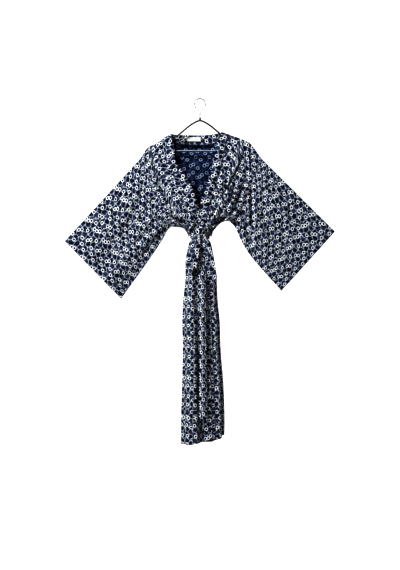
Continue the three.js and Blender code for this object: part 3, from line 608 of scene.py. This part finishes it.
def printedCotton(name, side):
    chart, colours = printChart, printColours[side]
    finish = Finish(name)
    cloth = finish.node("ShaderNodeUVMap", {"uv_map": "cloth"})
    half = (chart["across"] * mm / 2, chart["along"] * mm / 2, 1)
    lows = tuple(-v for v in half)

    def strayed(scale, detail, rough, reach):
        # small uneven shifts of the print
        noise = finish.noise(cloth, scale, detail, rough, 1)
        return finish.vector("MULTIPLY", finish.vector("SUBTRACT", noise, (0.5, 0.5, 0.5)),
                             (reach, reach, 0))

    def distanceTo(spot, centre):
        away = finish.vector("SUBTRACT", spot, (centre[0] * mm, centre[1] * mm, 0))
        return finish.vector("LENGTH", finish.vector("WRAP", away, half, lows))

    def nearest(spot, centres):
        least = distanceTo(spot, centres[0])
        for centre in centres[1:]:
            least = finish.sum("MINIMUM", least, distanceTo(spot, centre))
        return least

    fray = strayed(330, 1, 0.5, 0.0016)
    netSpot = finish.vector("ADD", finish.vector("ADD", cloth, strayed(62, 2, 0.6, 0.017)), fray)
    ringSpot = finish.vector("ADD", cloth, fray)
    # the net runs where two cells are equally near
    first, second = distanceTo(netSpot, chart["cells"][0]), 1.0
    for centre in chart["cells"][1:]:
        here = distanceTo(netSpot, centre)
        second = finish.sum("MINIMUM", second, finish.sum("MAXIMUM", first, here))
        first = finish.sum("MINIMUM", first, here)
    ringAway = nearest(ringSpot, chart["rings"])
    broken = finish.noise(cloth, 120, 2, 0.6)
    netWidth = (0.35 + 1.3 * broken) * (chart["netWidth"] * mm)
    net = finish.inside(second - first, netWidth, 0.0008) * (0.55 + 0.6 * broken)
    pale = finish.ramped(finish.noise(cloth, 42, 1, 0.4) - 0.49, 9.0)
    pale = pale * finish.inside(first, chart["paleRadius"] * mm, 0.005)
    long = finish.noise(finish.vector("MULTIPLY", cloth, (1, 0.35, 1)), 420, 2, 0.6)
    layers = [
        (pale, "pale"),
        (finish.ramped(long - 0.5, 0.8), "pale"),
        (net, "net"),
        (finish.inside(nearest(ringSpot, chart["beads"]), chart["beadRadius"] * mm, 0.0009),
         "net"),
        (finish.inside(ringAway, chart["ringRadius"] * mm, 0.0006), "ring"),
        (finish.inside(ringAway, chart["dotRadius"] * mm, 0.0006), "dot"),
    ]
    colour = colours["cell"]
    for share, key in layers:
        colour = finish.blend(share, colour, colours[key])
    threads = finish.vector("MULTIPLY", cloth, (2200, 2200, 0))
    warp, weft = (finish.sum("SINE", finish.axis(threads, k)) for k in (0, 1))
    crumple = finish.noise(cloth, 55, 3, 0.55)
    worn = finish.noise(cloth, 9, 3, 0.6)
    normal = finish.bump(crumple, 0.4, 0.005, finish.bump(warp * weft, 0.25, 0.0002))
    return finish.surface({"Base Color": colour, "Roughness": 0.84 + 0.1 * worn,
                           "Normal": normal, "Specular IOR Level": 0.08,
                           "Sheen Weight": 0.01, "Sheen Roughness": 0.5})


def plainCloth(name, colour, scale):
    finish = Finish(name)
    place = finish.place()
    rib = finish.sum("SINE", finish.axis(finish.vector("MULTIPLY", place, (scale,) * 3), 0))
    shade = finish.noise(place, 300, 2, 0.5)
    tint = finish.blend(shade, colour, tuple(v * 0.8 for v in colour[:3]) + (1,))
    return finish.surface({"Base Color": tint, "Roughness": 0.75 + 0.1 * shade,
                           "Normal": finish.bump(rib, 0.2, 0.0003)})


def flockedPlastic(name, barTop):
    finish = Finish(name)
    place = finish.place()
    pile = finish.noise(place, 2600, 2, 0.6)
    wearAndHighlight = finish.noise(place, 60, 3, 0.6)
    tint = finish.blend(finish.ramped(wearAndHighlight - 0.45, 1.6), rgb(14, 15, 18), rgb(44, 47, 52))
    # painted highlight: the bar's upper side is painted pale grey, as if lit from above
    normal = finish.node("ShaderNodeNewGeometry", None, None, 1)
    onBar = finish.ramped(barTop * mm - finish.axis(place, 2), 400)
    upwards = finish.ramped(finish.axis(normal, 2) + 0.1, 3)
    # painted highlight: pale grey on the bar's upward faces, varied by the wear noise
    tint = finish.blend(onBar * upwards * (0.6 + 0.6 * wearAndHighlight), tint, rgb(176, 186, 194))
    return finish.surface({"Base Color": tint, "Roughness": 0.3 + 0.2 * wearAndHighlight,
                           "Normal": finish.bump(pile, 0.15, 0.0003), "Sheen Weight": 0.3})


def brightSteel(name):
    finish = Finish(name)
    place = finish.place()
    drawn = finish.noise(finish.vector("MULTIPLY", place, (1, 1, 0.08)), 2200, 2, 0.5)
    wear = finish.noise(place, 180, 3, 0.6)
    tint = finish.blend(wear, rgb(196, 198, 202), rgb(160, 163, 168))
    return finish.surface({"Base Color": tint, "Metallic": 1.0,
                           "Roughness": 0.18 + 0.2 * wear,
                           "Normal": finish.bump(drawn, 0.12, 0.0002)})


cotton = printedCotton("printed cotton", "face")
wrongSide = printedCotton("printed cotton, wrong side", "reverse")
thread = plainCloth("navy thread", rgb(34, 38, 74), 5200)
tape = plainCloth("label tape", rgb(238, 238, 234), 3000)
print("finishes made")


# creases set one by one: path in x and z, half width, depth, height of the lips if not 0.4
creases = {
    "over": [
        ([(190, -222), (174, -268), (151, -318), (129, -360), (106, -398),
          (84, -432)], 4, 17, 0.12),
        ([(213, -196), (219, -262), (215, -340)], 5, 8, 0.2),
        ([(204, -300), (186, -370), (158, -440), (134, -500)], 8, 8),
        ([(142, -376), (136, -412), (118, -462)], 5, 14),
        ([(124, -326), (106, -372), (78, -418)], 6, 4),
        ([(100, -250), (84, -310), (62, -372), (40, -430)], 7, 4),
        ([(158, -210), (176, -236), (200, -262)], 8, 4),
        ([(118, -498), (88, -519), (58, -537), (30, -556)], 7, 27, 0.08),
        ([(70, -470), (50, -505), (34, -540)], 5, 6),
    ],
    "under": [
        ([(-196, -250), (-186, -312), (-172, -366), (-156, -405), (-124, -500)], 7, 7),
        ([(-150, -236), (-132, -300), (-112, -352), (-84, -408)], 8, 4),
        ([(-126, -498), (-108, -515), (-84, -526), (-56, -540), (-34, -556)], 6.5, 30, 0.08),
        ([(-126, -424), (-104, -462), (-80, -500), (-56, -534)], 6, 7),
        ([(-92, -398), (-72, -440), (-46, -500)], 6, 5),
    ],
    "back": [
        ([(-176, -240), (-168, -330), (-150, -420), (-118, -500)], 9, 11),
        ([(-118, -236), (-104, -330), (-82, -430), (-50, -520)], 10, 7),
        ([(-30, -300), (-26, -400), (-14, -500)], 9, 8),
        ([(62, -250), (52, -360), (34, -460), (22, -530)], 8, 9),
        ([(132, -230), (122, -330), (92, -430), (56, -520)], 10, 9),
        ([(196, -236), (190, -330), (166, -420), (124, -500)], 9, 12),
        ([(-120, -470), (-88, -505), (-56, -535)], 7, 9),
        ([(122, -460), (92, -500), (58, -535)], 7, 9),
        ([(-96, -216), (-10, -236), (84, -212)], 9, 4),
    ],
}
# cloth hidden between folds in mm at the belt and at the hem, from this share of the bodice on
panels = {
    "front_left": {"kind": "over", "columns": 86, "turn": -0.35, "shift": (0.013, 0.021),
                   "valleys": (0.16, 0.41, 0.52, 0.78, 0.87), "hidden": (150, 95, 0.45)},
    "front_right": {"kind": "under", "columns": 86, "turn": -0.75, "shift": (-0.013, 0.021),
                    "valleys": (0.14, 0.33, 0.66, 0.92), "hidden": (150, 95, 0.45)},
    "back": {"kind": "back", "columns": 136, "turn": 0, "shift": (0, 0),
             "valleys": (0.12, 0.33, 0.53, 0.75, 0.92), "hidden": (330, 170, 0.4)},
}
grids, sheets = {}, {}
for name, spec in panels.items():
    kind, share = spec["kind"], np.linspace(0, 1, spec["columns"])
    if kind == "back":
        whole = backGrid(share)
    else:
        band = np.concatenate([bandColumns, np.ones(len(share) - 1)])
        share = np.concatenate([np.zeros(len(bandColumns)), share[1:]])
        whole = frontGrid(kind, band, share)
    bodice = whole[:len(bodiceRows)]
    depth, z = furrow(bodice, creases[kind]), bodice[..., 2]
    if kind == "back":
        bodice[..., 1] += depth * fading(share, 0.08, 0.08) * eased((z + 565) / 40)
    else:
        keep = eased((1 - share) / 0.1) * eased(-(z + 170) / 40) * eased((z + 560) / 50)
        bodice[..., 1] -= depth * keep
    grids[name] = whole
    panel = whole if kind == "back" else whole[:, len(bandColumns) - 1:]
    sheets[name] = clothObject(name, panel, clothMap(panel, spec), [cotton, wrongSide],
                               (0, 1 if kind == "back" else -1, 0), robe["wall"])
print("fronts and back made")


# neckband: one strip from one hem round the nape to the other
neckband = {"napeRows": 56, "lap": 1.6, "raise": 1.1, "pillow": 0.5}
columns = len(bandColumns)
down = np.linspace(1, 0, neckband["napeRows"])
free, seam = napeStrip(down, 0.0)[:, None], napeStrip(down, 1.0)[:, None]
strip = np.concatenate([grids["front_left"][:0:-1, :columns],
                        free + (seam - free) * bandColumns[None, :, None],
                        grids["front_right"][1:, :columns]])
away = np.full(len(strip), -1.0)
away[len(grids["front_left"]) - 1:][:neckband["napeRows"]] = 1.0
outward = normalsOf(strip)
outward = outward * (1.0 if (outward[..., 1] * away[:, None]).sum() > 0 else -1.0)
pillow = neckband["pillow"] * np.sin(math.pi * bandColumns) ** 0.5
strip = strip + outward * (neckband["raise"] + pillow)[None, :, None]
last = strip[:, -1] - strip[:, -2]
strip[:, -1] += last / np.linalg.norm(last, axis=-1, keepdims=True) * neckband["lap"]
uv = joined(bandColumns[None, :] * robe["band"] + 4, lengthAlong(strip[:, 4])[:, None]) * mm
sheets["neckband"] = clothObject("neckband", strip, uv, [cotton],
                                 tuple(outward[len(strip) // 4, 4]), robe["doubled"])
print("neckband made")


sleeves = {
    "sleeve_left": {
        "side": fronts["over"]["side"], "tip": (576, -566), "low": {
            "t": [0, 0.05, 0.14, 0.26, 1], "x": [126, 149, 171, 201, 348],
            "z": [-522, -545, -592, -647, -819]},
        "creases": [
            ([(217, -320), (219, -400), (219, -470), (221, -540), (224, -610)], 7, 11, 0.25),
            ([(172, -470), (190, -520), (206, -570), (222, -620)], 8, 15, 0.3),
            ([(262, -400), (270, -480), (290, -560), (320, -640)], 10, 5),
            ([(200, -476), (232, -520), (280, -556), (350, -590)], 12, 5),
            ([(330, -400), (380, -470), (420, -560), (430, -650)], 14, 4),
            ([(300, -360), (360, -420), (460, -500)], 12, 3.5),
        ]},
    "sleeve_right": {
        "side": fronts["under"]["side"], "tip": (-577, -607), "low": {
            "t": [0, 0.05, 0.16, 1], "x": [-119, -137, -158, -337],
            "z": [-544, -558, -596, -853]},
        "creases": [
            ([(-128, -540), (-146, -562), (-166, -578), (-192, -604)], 8, 20, 0.15),
            ([(-196, -600), (-220, -636), (-246, -676)], 9, 7),
            ([(-170, -480), (-196, -530), (-240, -590), (-300, -640)], 11, 6),
            ([(-232, -320), (-250, -410), (-280, -490), (-330, -570)], 11, 5),
            ([(-296, -800), (-330, -770), (-380, -738)], 9, 7),
            ([(-330, -400), (-380, -470), (-450, -560)], 12, 3.5),
        ]},
}
sleeveForm = {
    "t": [0, 0.14, 0.4, 0.7, 1], "deep": [16, 18, 17, 14, 12], "arm": 16, "least": 1.2,
    "crown": 0.06, "swell": 0.6, "seam": 0.97, "fade": 0.12, "rear": 0.9, "rearShift": 4}
sleeveFolds = [(0.3, 0.1, 3), (0.55, 0.09, -5), (0.76, 0.08, 3)]
sleeveRows = np.linspace(0, 1, 108)
halfRound = np.concatenate([np.linspace(0, 0.03, 6)[:-1], np.linspace(0.03, 0.97, 62),
                            np.linspace(0.97, 1, 5)[1:]])


def sleeveGrid(spec):
    # w runs from the armhole to the cuff, s from the top fold to the underarm seam
    w, s = sleeveRows[:, None], halfRound[None, :]
    side, rim = spec["side"], s * robe["underarm"]
    x, z = (mixed(mixed(mixed(side[key][0], tip, w), tracked(spec["low"], key, w), s),
                  tracked(side, key, rim), 1 - eased(w / 0.02))
            for key, tip in zip("xz", spec["tip"]))
    arm, form = tracked(chest, "arm", rim), sleeveForm
    swell = rounded(s / form["crown"]) * form["swell"] * eased((form["seam"] - s) / form["fade"])
    shape = np.maximum(np.minimum(arm, form["arm"]) / form["arm"], swell)
    deep = mixed(arm, tracked(form, "deep", w) * shape, eased(w / 0.1))
    deep = deep + folded(sleeveFolds, s) * eased(w / 0.3) * fading(s, 0.1, 0.15)
    crease = furrow(joined(x, 0 * x, z), spec["creases"])
    soft = fading(s, 0.08, 0.1) * eased(w / 0.08)
    inner = (s > 0) * (s < 1)
    front = np.maximum(deep + crease * soft, form["least"]) * inner
    rear = deep + form["rear"] * np.roll(crease, form["rearShift"], 1) * soft
    rear = np.maximum(rear, form["least"]) * inner
    return np.concatenate([joined(x, -front, z), joined(x, rear, z)[:, -2:0:-1]], 1)


for name, spec in sleeves.items():
    tube = sleeveGrid(spec)
    girth = lengthAlong(np.concatenate([tube[60], tube[60, :1]]))
    uv = joined(girth[None, :], -lengthAlong(tube[:, 30])[:, None]) * mm
    grids[name] = tube
    sheets[name] = clothObject(name, tube, uv, [cotton, wrongSide], wall=robe["wall"],
                               closed=True)
print("sleeves made")


# belt: round the waist, two tails, two hanging loops, the knot
belt = {"halfWide": 40.3, "deep": 36.8, "top": -563.5, "low": -595.5, "girth": 245, "width": 42}
turn = np.linspace(0, 2 * math.pi, 181)[None, :]
height = np.linspace(0, 1, 22)[:, None]
uv = joined(turn / (2 * math.pi) * belt["girth"], height * belt["width"]) * mm
turn = turn[:, :-1]
crush = (0.9 * np.sin(height * 15 + 0.9 * np.sin(turn * 2 + 1))
         + 0.5 * np.sin(height * 31 + np.sin(turn * 3)))
press = crush * np.sin(math.pi * height) ** 0.5 + 0.4
ring = joined((belt["halfWide"] + press) * np.sin(turn), -(belt["deep"] + press) * np.cos(turn),
              mixed(belt["top"], belt["low"], height) + 1.2 * np.sin(turn * 2 + 0.5))
sheets["belt_wrap"] = clothObject("belt_wrap", ring, uv, [cotton], wall=robe["doubled"],
                                  closed=True)

tails = {
    "belt_tail_long": {
        "t": [0, 0.1, 0.35, 0.65, 0.85, 1], "x": [2, 8, 11, 13, 14, 15],
        "wide": [34, 40, 28, 30, 35, 36], "y": [-46, -50, -56, -60, -62, -63],
        "z": [-587.3, -640, -850, -1100, -1260, -1352], "roll": 0.7, "bow": 8, "lowBow": 20,
        "rows": 150},
    "belt_tail_short": {
        "t": [0, 0.15, 0.5, 1], "x": [6, 9, 13, 16], "wide": [32, 34, 30, 34],
        "y": [-39.8, -45.9, -52.5, -54.6], "z": [-595.9, -640, -850, -1040], "roll": 0.3,
        "bow": 14, "lowBow": 0, "rows": 96},
}
tailSlant = 22
for name, table in tails.items():
    t = np.linspace(0, 1, table["rows"])[:, None]
    side = np.linspace(-0.5, 0.5, 15)[None, :]
    bow = 4 + table["bow"] * eased(t / 0.35) + table["lowBow"] * eased((t - 0.62) / 0.12)
    roll = table["roll"] * np.cos(side * 9 + t * 7) * np.sin(math.pi * t) ** 0.3
    tail = joined(tracked(table, "x", t) + side * tracked(table, "wide", t),
                  tracked(table, "y", t) + bow * side * side + roll,
                  tracked(table, "z", t) - tailSlant * (side + 0.5) * eased((t - 0.85) / 0.15))
    uv = joined(lengthAlong(tail[:, 7])[:, None], side * belt["width"]) * mm
    grids[name] = tail
    sheets[name] = clothObject(name, tail, uv + (0.011, 0.03), [cotton], (0, -1, 0),
                               robe["doubled"])

loops = {
    "belt_loop_left": {
        "t": [0, 0.4, 1], "x": [-9, -20, -37], "wide": [21, 38, 48],
        "z": [-587.7, -640, -721], "y": [-54, -64, -69], "slant": -3.6},
    "belt_loop_right": {
        "t": [0, 0.4, 1], "x": [13, 36, 54], "wide": [17, 32, 38],
        "z": [-583.6, -660, -773], "y": [-56, -65, -71], "slant": 6},
}
for name, table in loops.items():
    angle = np.linspace(0, 2 * math.pi, 97)[:-1][None, :]
    side = np.linspace(-0.5, 0.5, 17)[:, None]
    t = 0.5 - 0.5 * np.cos(angle)
    gap = 5 * (0.45 + 0.55 * eased(t / 0.4)) * power(np.sin(angle), 0.45)
    pleat = 1.1 * np.cos(side * 12 + t * 3) * (1 - 0.6 * t)
    loop = joined(tracked(table, "x", t) + side * tracked(table, "wide", t),
                  tracked(table, "y", t) - gap + np.abs(side) * 2 + pleat,
                  tracked(table, "z", t) + side * table["slant"] * t)
    run = lengthAlong(np.concatenate([loop[8], loop[8, :1]]))
    uv = joined(run[None, :], side * belt["width"]) * mm
    sheets[name] = clothObject(name, loop, uv, [cotton], wall=robe["doubled"], closed=True)

knot = {"x": -4, "y": -48.75, "z": -566, "wide": 22, "deep": 10.5, "high": 21.5, "girth": 110}
up = np.linspace(0, math.pi, 46)[1:-1][:, None]
turn = np.linspace(0, 2 * math.pi, 73)[None, :]
uv = joined(up * 14, turn / (2 * math.pi) * knot["girth"]) * mm
turn = turn[:, :-1]
tucks = 1 + 0.09 * np.cos(5 * turn + 3.2 * up) * np.sin(up) + 0.05 * np.cos(9 * turn - 5 * up)
ball = joined(
    knot["x"] + knot["wide"] * power(np.sin(up), 1.15) * power(np.sin(turn), 0.85) * tucks,
    knot["y"] - knot["deep"] * power(np.sin(up), 0.6) * power(np.cos(turn), 0.8) * tucks,
    knot["z"] + knot["high"] * power(np.cos(up), 1.05))
knotPiece = clothObject("belt_knot", ball, uv + (0.0235, 0.012), [cotton], closed=True)
print("belt made")


# label on the inside of the neckband
label = {"left": -55, "right": 4, "top": -158, "low": -177, "thick": 0.7, "clear": 2.1}
middle = napeStrip(np.linspace(0.2, 0.8, 400), 0.45)
x = np.linspace(label["left"], label["right"], 31)
sag = 0.25 * np.sin(np.linspace(0, 9, 31))
z = np.linspace(label["top"], label["low"], 11)[:, None]
labelGrid = joined(x, np.interp(x, middle[:, 0], middle[:, 1]) - label["clear"] + sag, z)
labelPiece = clothObject("label", labelGrid, joined(x, z) * mm, [tape], (0, -1, 0),
                         label["thick"])
print("label made")


hanger = {
    "high": 3.55, "thick": 2.5, "sides": 20, "rings": 520, "barTop": -213,
    "path": [(0, -92), (-12, -95), (-26, -102), (-48, -116.5), (-75, -139), (-97, -156.5),
             (-122, -169.5), (-151, -181), (-188, -197.4), (-203, -204), (-209.5, -210),
             (-209, -217), (-202, -221), (-188, -222), (-120, -222), (-50, -222)],
}
# from the socket up and round to the tip, radii after x and z where it isn't plain wire
hook = {
    "sides": 20, "rings": 260, "wire": 1.9,
    "socket": [(0, -88.15, 5), (0, -86, 5), (0, -80.4, 5), (0, -79, 4.4), (0, -78, 2.6)],
    "bend": [(0, -77), (0, -66), (1.5, -57), (7, -48), (14, -41), (20, -33), (22.4, -22),
             (20.4, -11), (15, -3.4), (8, 0.6), (0, 1.9), (-8, 0.6), (-15, -3.4),
             (-20.4, -11), (-22.4, -22), (-21, -31), (-18.5, -36)],
    "tip": [(-18.1, -37, 1.3), (-17.9, -37.4, 0.4)],
}


def splined(path, count, closed):
    # even points on a smooth curve through the path
    knots = np.array(path, float)
    if closed:
        knots = np.concatenate([knots[-1:], knots, knots[:2]])
    else:
        knots = np.concatenate([[2 * knots[0] - knots[1]], knots, [2 * knots[-1] - knots[-2]]])
    u = np.linspace(0, 1, 25)[:-1, None]
    line = []
    for k in range(1, len(knots) - 2):
        p0, p1, p2, p3 = knots[k - 1:k + 3]
        gaps = [max(1e-6, np.linalg.norm(b[:2] - a[:2])) ** 0.5
                for a, b in ((p0, p1), (p1, p2), (p2, p3))]
        m1 = (p2 - p1) + gaps[1] * ((p1 - p0) / gaps[0] - (p2 - p0) / (gaps[0] + gaps[1]))
        m2 = (p2 - p1) + gaps[1] * ((p3 - p2) / gaps[2] - (p3 - p1) / (gaps[1] + gaps[2]))
        line.append((2 * u ** 3 - 3 * u ** 2 + 1) * p1 + (u ** 3 - 2 * u ** 2 + u) * m1
                    + (3 * u ** 2 - 2 * u ** 3) * p2 + (u ** 3 - u ** 2) * m2)
    line = np.concatenate(line + [knots[-2:-1]])
    far = lengthAlong(line[:, :2])
    even = np.linspace(0, far[-1], count + closed)[:count]
    return joined(*(np.interp(even, far, column) for column in line.T))


def rod(name, line, high, thick, sides, closed, material):
    # a third column of the line is the rod's size at each point
    ahead = (np.roll(line, -1, 0) - np.roll(line, 1, 0)) if closed else np.gradient(line, axis=0)
    run = ahead[:, :2] / np.linalg.norm(ahead[:, :2], axis=1, keepdims=True)
    turn = np.linspace(0, 2 * math.pi, sides + 1)[:-1]
    size = line[:, 2:3] if line.shape[1] > 2 else np.ones((len(line), 1))
    rise = size * high * np.cos(turn)[None, :]
    points = joined(line[:, :1] - run[:, 1:2] * rise, size * thick * np.sin(turn)[None, :],
                    line[:, 1:2] + run[:, :1] * rise)
    index = numbered(len(line), sides, True)
    faces = cellCorners(np.concatenate([index, index[:1]]) if closed else index).tolist()
    if not closed:
        faces += [index[0, :-1].tolist(), index[-1, -2::-1].tolist()]
    mesh = meshFrom(name, points, faces, [material])
    work = bmesh.new()
    work.from_mesh(mesh)
    bmesh.ops.recalc_face_normals(work, faces=work.faces)
    work.to_mesh(mesh)
    work.free()
    return added(name, mesh)


arm = hanger["path"]
outline = arm + [(0, arm[-1][1])] + [(-x, z) for x, z in arm[:0:-1]]
hangerPiece = rod("hanger_body", splined(outline, hanger["rings"], True), hanger["high"],
                  hanger["thick"], hanger["sides"], True,
                  flockedPlastic("black hanger", hanger["barTop"]))
wire = hook["socket"] + [(x, z, hook["wire"]) for x, z in hook["bend"]] + hook["tip"]
hookPiece = rod("hanger_hook", splined(wire, hook["rings"], False), 1, 1,
                hook["sides"], False, brightSteel("bright steel"))
print("hanger made")


# the thread's half thickness is its radius, all in mm
seamStitch = {"Pitch": 3.4, "Stitch Length": 2.5, "Thread Radius": 0.22}
labelStitch = {"Pitch": 2.2, "Stitch Length": 1.6, "Thread Radius": 0.16}


def stitchTree(material):
    tree = bpy.data.node_groups.new("stitches", "GeometryNodeTree")
    face = tree.interface
    face.new_socket("Geometry", in_out="INPUT", socket_type="NodeSocketGeometry")
    for title, value in seamStitch.items():
        socket = face.new_socket(title, in_out="INPUT", socket_type="NodeSocketFloat")
        socket.default_value = value * mm
    face.new_socket("Geometry", in_out="OUTPUT", socket_type="NodeSocketGeometry")
    given = addNode(tree, "NodeGroupInput").outputs

    def step(kind, inputs=None, settings=None):
        return addNode(tree, kind, settings, inputs).outputs[0]

    curve = step("GeometryNodeMeshToCurve", {"Mesh": given["Geometry"]})
    even = step("GeometryNodeResampleCurve", {"Curve": curve, "Length": given["Pitch"]},
                {"mode": "LENGTH"})
    bead = step("GeometryNodeMeshIcoSphere", {"Radius": 1.0, "Subdivisions": 1})
    half = step("ShaderNodeMath", {0: given["Stitch Length"], 1: 0.5},
                {"operation": "MULTIPLY"})
    size = step("ShaderNodeCombineXYZ", {"X": half, "Y": given["Thread Radius"],
                                         "Z": given["Thread Radius"]})
    turned = step("FunctionNodeAlignRotationToVector",
                  {"Vector": step("GeometryNodeInputTangent")}, {"axis": "X"})
    placed = step("GeometryNodeInstanceOnPoints",
                  {"Points": even, "Instance": bead, "Rotation": turned, "Scale": size})
    real = step("GeometryNodeRealizeInstances", {"Geometry": placed})
    dressed = step("GeometryNodeSetMaterial", {"Geometry": real, "Material": material})
    addNode(tree, "NodeGroupOutput", None, {0: dressed})
    return tree


def stitched(name, lines, material, sizes):
    starts = np.cumsum([0] + [len(line) for line in lines])
    edges = [(k, k + 1) for a, b in zip(starts, starts[1:]) for k in range(a, b - 1)]
    piece = added(name, meshFrom(name, np.concatenate(lines), [], edges=edges))
    modifier = piece.modifiers.new("stitches", "NODES")
    modifier.node_group = stitchTree(material)
    for item in modifier.node_group.interface.items_tree:
        if item.in_out == "INPUT" and item.name in sizes:
            modifier[item.identifier] = sizes[item.name] * mm
    graph = bpy.context.evaluated_depsgraph_get()
    made = bpy.data.meshes.new_from_object(piece.evaluated_get(graph))
    piece.modifiers.clear()
    piece.data = made
    made.shade_smooth()
    return piece


rise = robe["wall"] / 2 + 0.05
armhole = slice(2, 84)  # the rows of the bodice that a sleeve is sewn to
lines = []
for name in ("front_left", "front_right"):
    outer = raisedFrom(grids[name], rise, (0, -1, 0))[:, columns - 1:]
    lines += [outer[len(bodiceRows) + 12:, 2], outer[-4, 2:-1], outer[armhole, -3]]
outer = raisedFrom(grids["back"], rise, (0, 1, 0))
lines += [outer[-4, 1:-1], outer[armhole, 2], outer[armhole, -3]]
for name in sleeves:
    cuff = raisedFrom(grids[name], rise, None, True)[-4]
    lines += [np.concatenate([cuff, cuff[:1]])]
bandFace = strip + outward * (robe["doubled"] / 2 + 0.1)
lines += [bandFace[6:-6, -2], bandFace[6:-6, 1]]
for name in tails:
    outer = raisedFrom(grids[name], robe["doubled"] / 2 + 0.05, (0, -1, 0))
    lines += [outer[4:-2, 1], outer[4:-2, -2], outer[-2, 1:-1]]
seams = stitched("stitching", lines, thread, seamStitch)
labelFace = labelGrid - (0, label["thick"] / 2 + 0.05, 0)
labelSeams = stitched("label_stitching", [labelFace[1, 1:-1], labelFace[-2, 1:-1]], tape,
                      labelStitch)
print("stitching made")


# what each piece stands for
allPieces = {**sheets, "belt_knot": knotPiece, "label": labelPiece, "hanger_body": hangerPiece,
             "hanger_hook": hookPiece}
replaced = {name: [name, name + "_skirt"] for name in panels}
replaced["neckband"] = ["neckband_back", "neckband_left", "neckband_left_skirt",
                        "neckband_right", "neckband_right_skirt"]
for name, piece in allPieces.items():
    piece.name = name + "_cloth" if name not in ("hanger_body", "hanger_hook") else name + "_rod"
    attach(piece, "root")
    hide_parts(*replaced.get(name, [name]))
for piece, slot in ((seams, "printed_cotton"), (labelSeams, "label_tape")):
    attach(piece, "root")

# flat width and length in m, how it is held, and by which pieces
flats = [
    ("front_left", 0.12, 1.31, "gathered", "neckband_cloth", "hanger_body_rod"),
    ("front_right", 0.145, 1.32, "gathered", "neckband_cloth", "hanger_body_rod"),
    ("back", 0.3, 1.30, "gathered", "hanger_body_rod"),
    ("neckband", 0.036, 2.85, "hung", "hanger_body_rod"),
    ("sleeve_left", 0.62, 0.44, "hung", "front_left_cloth", "back_cloth"),
    ("sleeve_right", 0.62, 0.46, "hung", "front_right_cloth", "back_cloth"),
    ("belt_wrap", 0.036, 0.245, "gathered", "front_left_cloth", "back_cloth"),
    ("belt_loop_left", 0.042, 0.30, "hung", "belt_knot_cloth"),
    ("belt_loop_right", 0.034, 0.40, "hung", "belt_knot_cloth"),
    ("belt_tail_long", 0.036, 0.79, "hung", "belt_knot_cloth"),
    ("belt_tail_short", 0.034, 0.46, "hung", "belt_knot_cloth"),
]
for name, wide, long, held, *carriers in flats:
    [seams] if name == "front_left" else ()


# room, light and camera
room = {"floor": -2620, "size": 1600, "distance": 3.4, "frameHigh": 2.4225,
        "middle": -0.79475, "ambient": 0.15, "white": 1.0, "lampTint": (0.93, 0.975, 1.0)}
lamps = {
    "key": {"at": (-2.7, -2.8, 2.6), "size": 0.75, "power": 330},
    "rear": {"at": (2.3, 2.2, 1.5), "size": 0.7, "power": 110},
}
paleFloor = Finish("pale floor")
floorTone = paleFloor.blend(paleFloor.noise(paleFloor.place(), 3, 2, 0.5),
                            (0.85, 0.85, 0.85, 1), (0.8, 0.8, 0.8, 1))
corners = [(x * room["size"], y * room["size"], room["floor"])
           for x, y in ((-1, -1), (1, -1), (1, 1), (-1, 1))]
floor = added("floor", meshFrom("floor", corners, [(0, 1, 2, 3)], [
    paleFloor.surface({"Base Color": floorTone, "Roughness": 0.8})]))

world = bpy.data.worlds.new("studio")
bpy.context.scene.world = world
world.use_nodes = True
sky = world.node_tree
sky.nodes.clear()
# the backdrop is plain white all round, and only the wall behind the robe lights it
compass = addNode(sky, "ShaderNodeSeparateXYZ", None,
                  {0: addNode(sky, "ShaderNodeTexCoord").outputs["Generated"]})
wall = addNode(sky, "ShaderNodeMapRange", {"interpolation_type": "SMOOTHSTEP"},
               {"Value": compass.outputs["Y"], "From Min": 0.76, "From Max": 0.9,
                "To Min": room["ambient"], "To Max": room["white"]})
shown = addNode(sky, "ShaderNodeMath", {"operation": "MAXIMUM"},
                {0: wall.outputs[0],
                 1: addNode(sky, "ShaderNodeLightPath").outputs["Is Camera Ray"]})
glow = addNode(sky, "ShaderNodeBackground", None,
               {"Color": (1, 1, 1, 1), "Strength": shown.outputs[0]})
addNode(sky, "ShaderNodeOutputWorld", None, {"Surface": glow.outputs[0]})

lampAim = Vector((0, 0, -0.6))
for name, spec in lamps.items():
    data = bpy.data.lights.new(name, "AREA")
    data.size, data.energy, data.color = spec["size"], spec["power"], room["lampTint"]
    lamp = added(name, data)
    lamp.location = spec["at"]
    lamp.rotation_euler = (lampAim - Vector(spec["at"])).to_track_quat("-Z", "Y").to_euler()

lens = bpy.data.cameras.new("view")
lens.sensor_width = 36
lens.lens = lens.sensor_width * room["distance"] / room["frameHigh"]
camera = added("view", lens)
camera.location = (0, -room["distance"] - 0.02, room["middle"])
camera.rotation_euler = (math.pi / 2, 0, 0)
bpy.context.scene.camera = camera
tone = bpy.context.scene.view_settings
tone.view_transform, tone.exposure, tone.gamma = "Standard", 0.44, 0.67
print("room made")
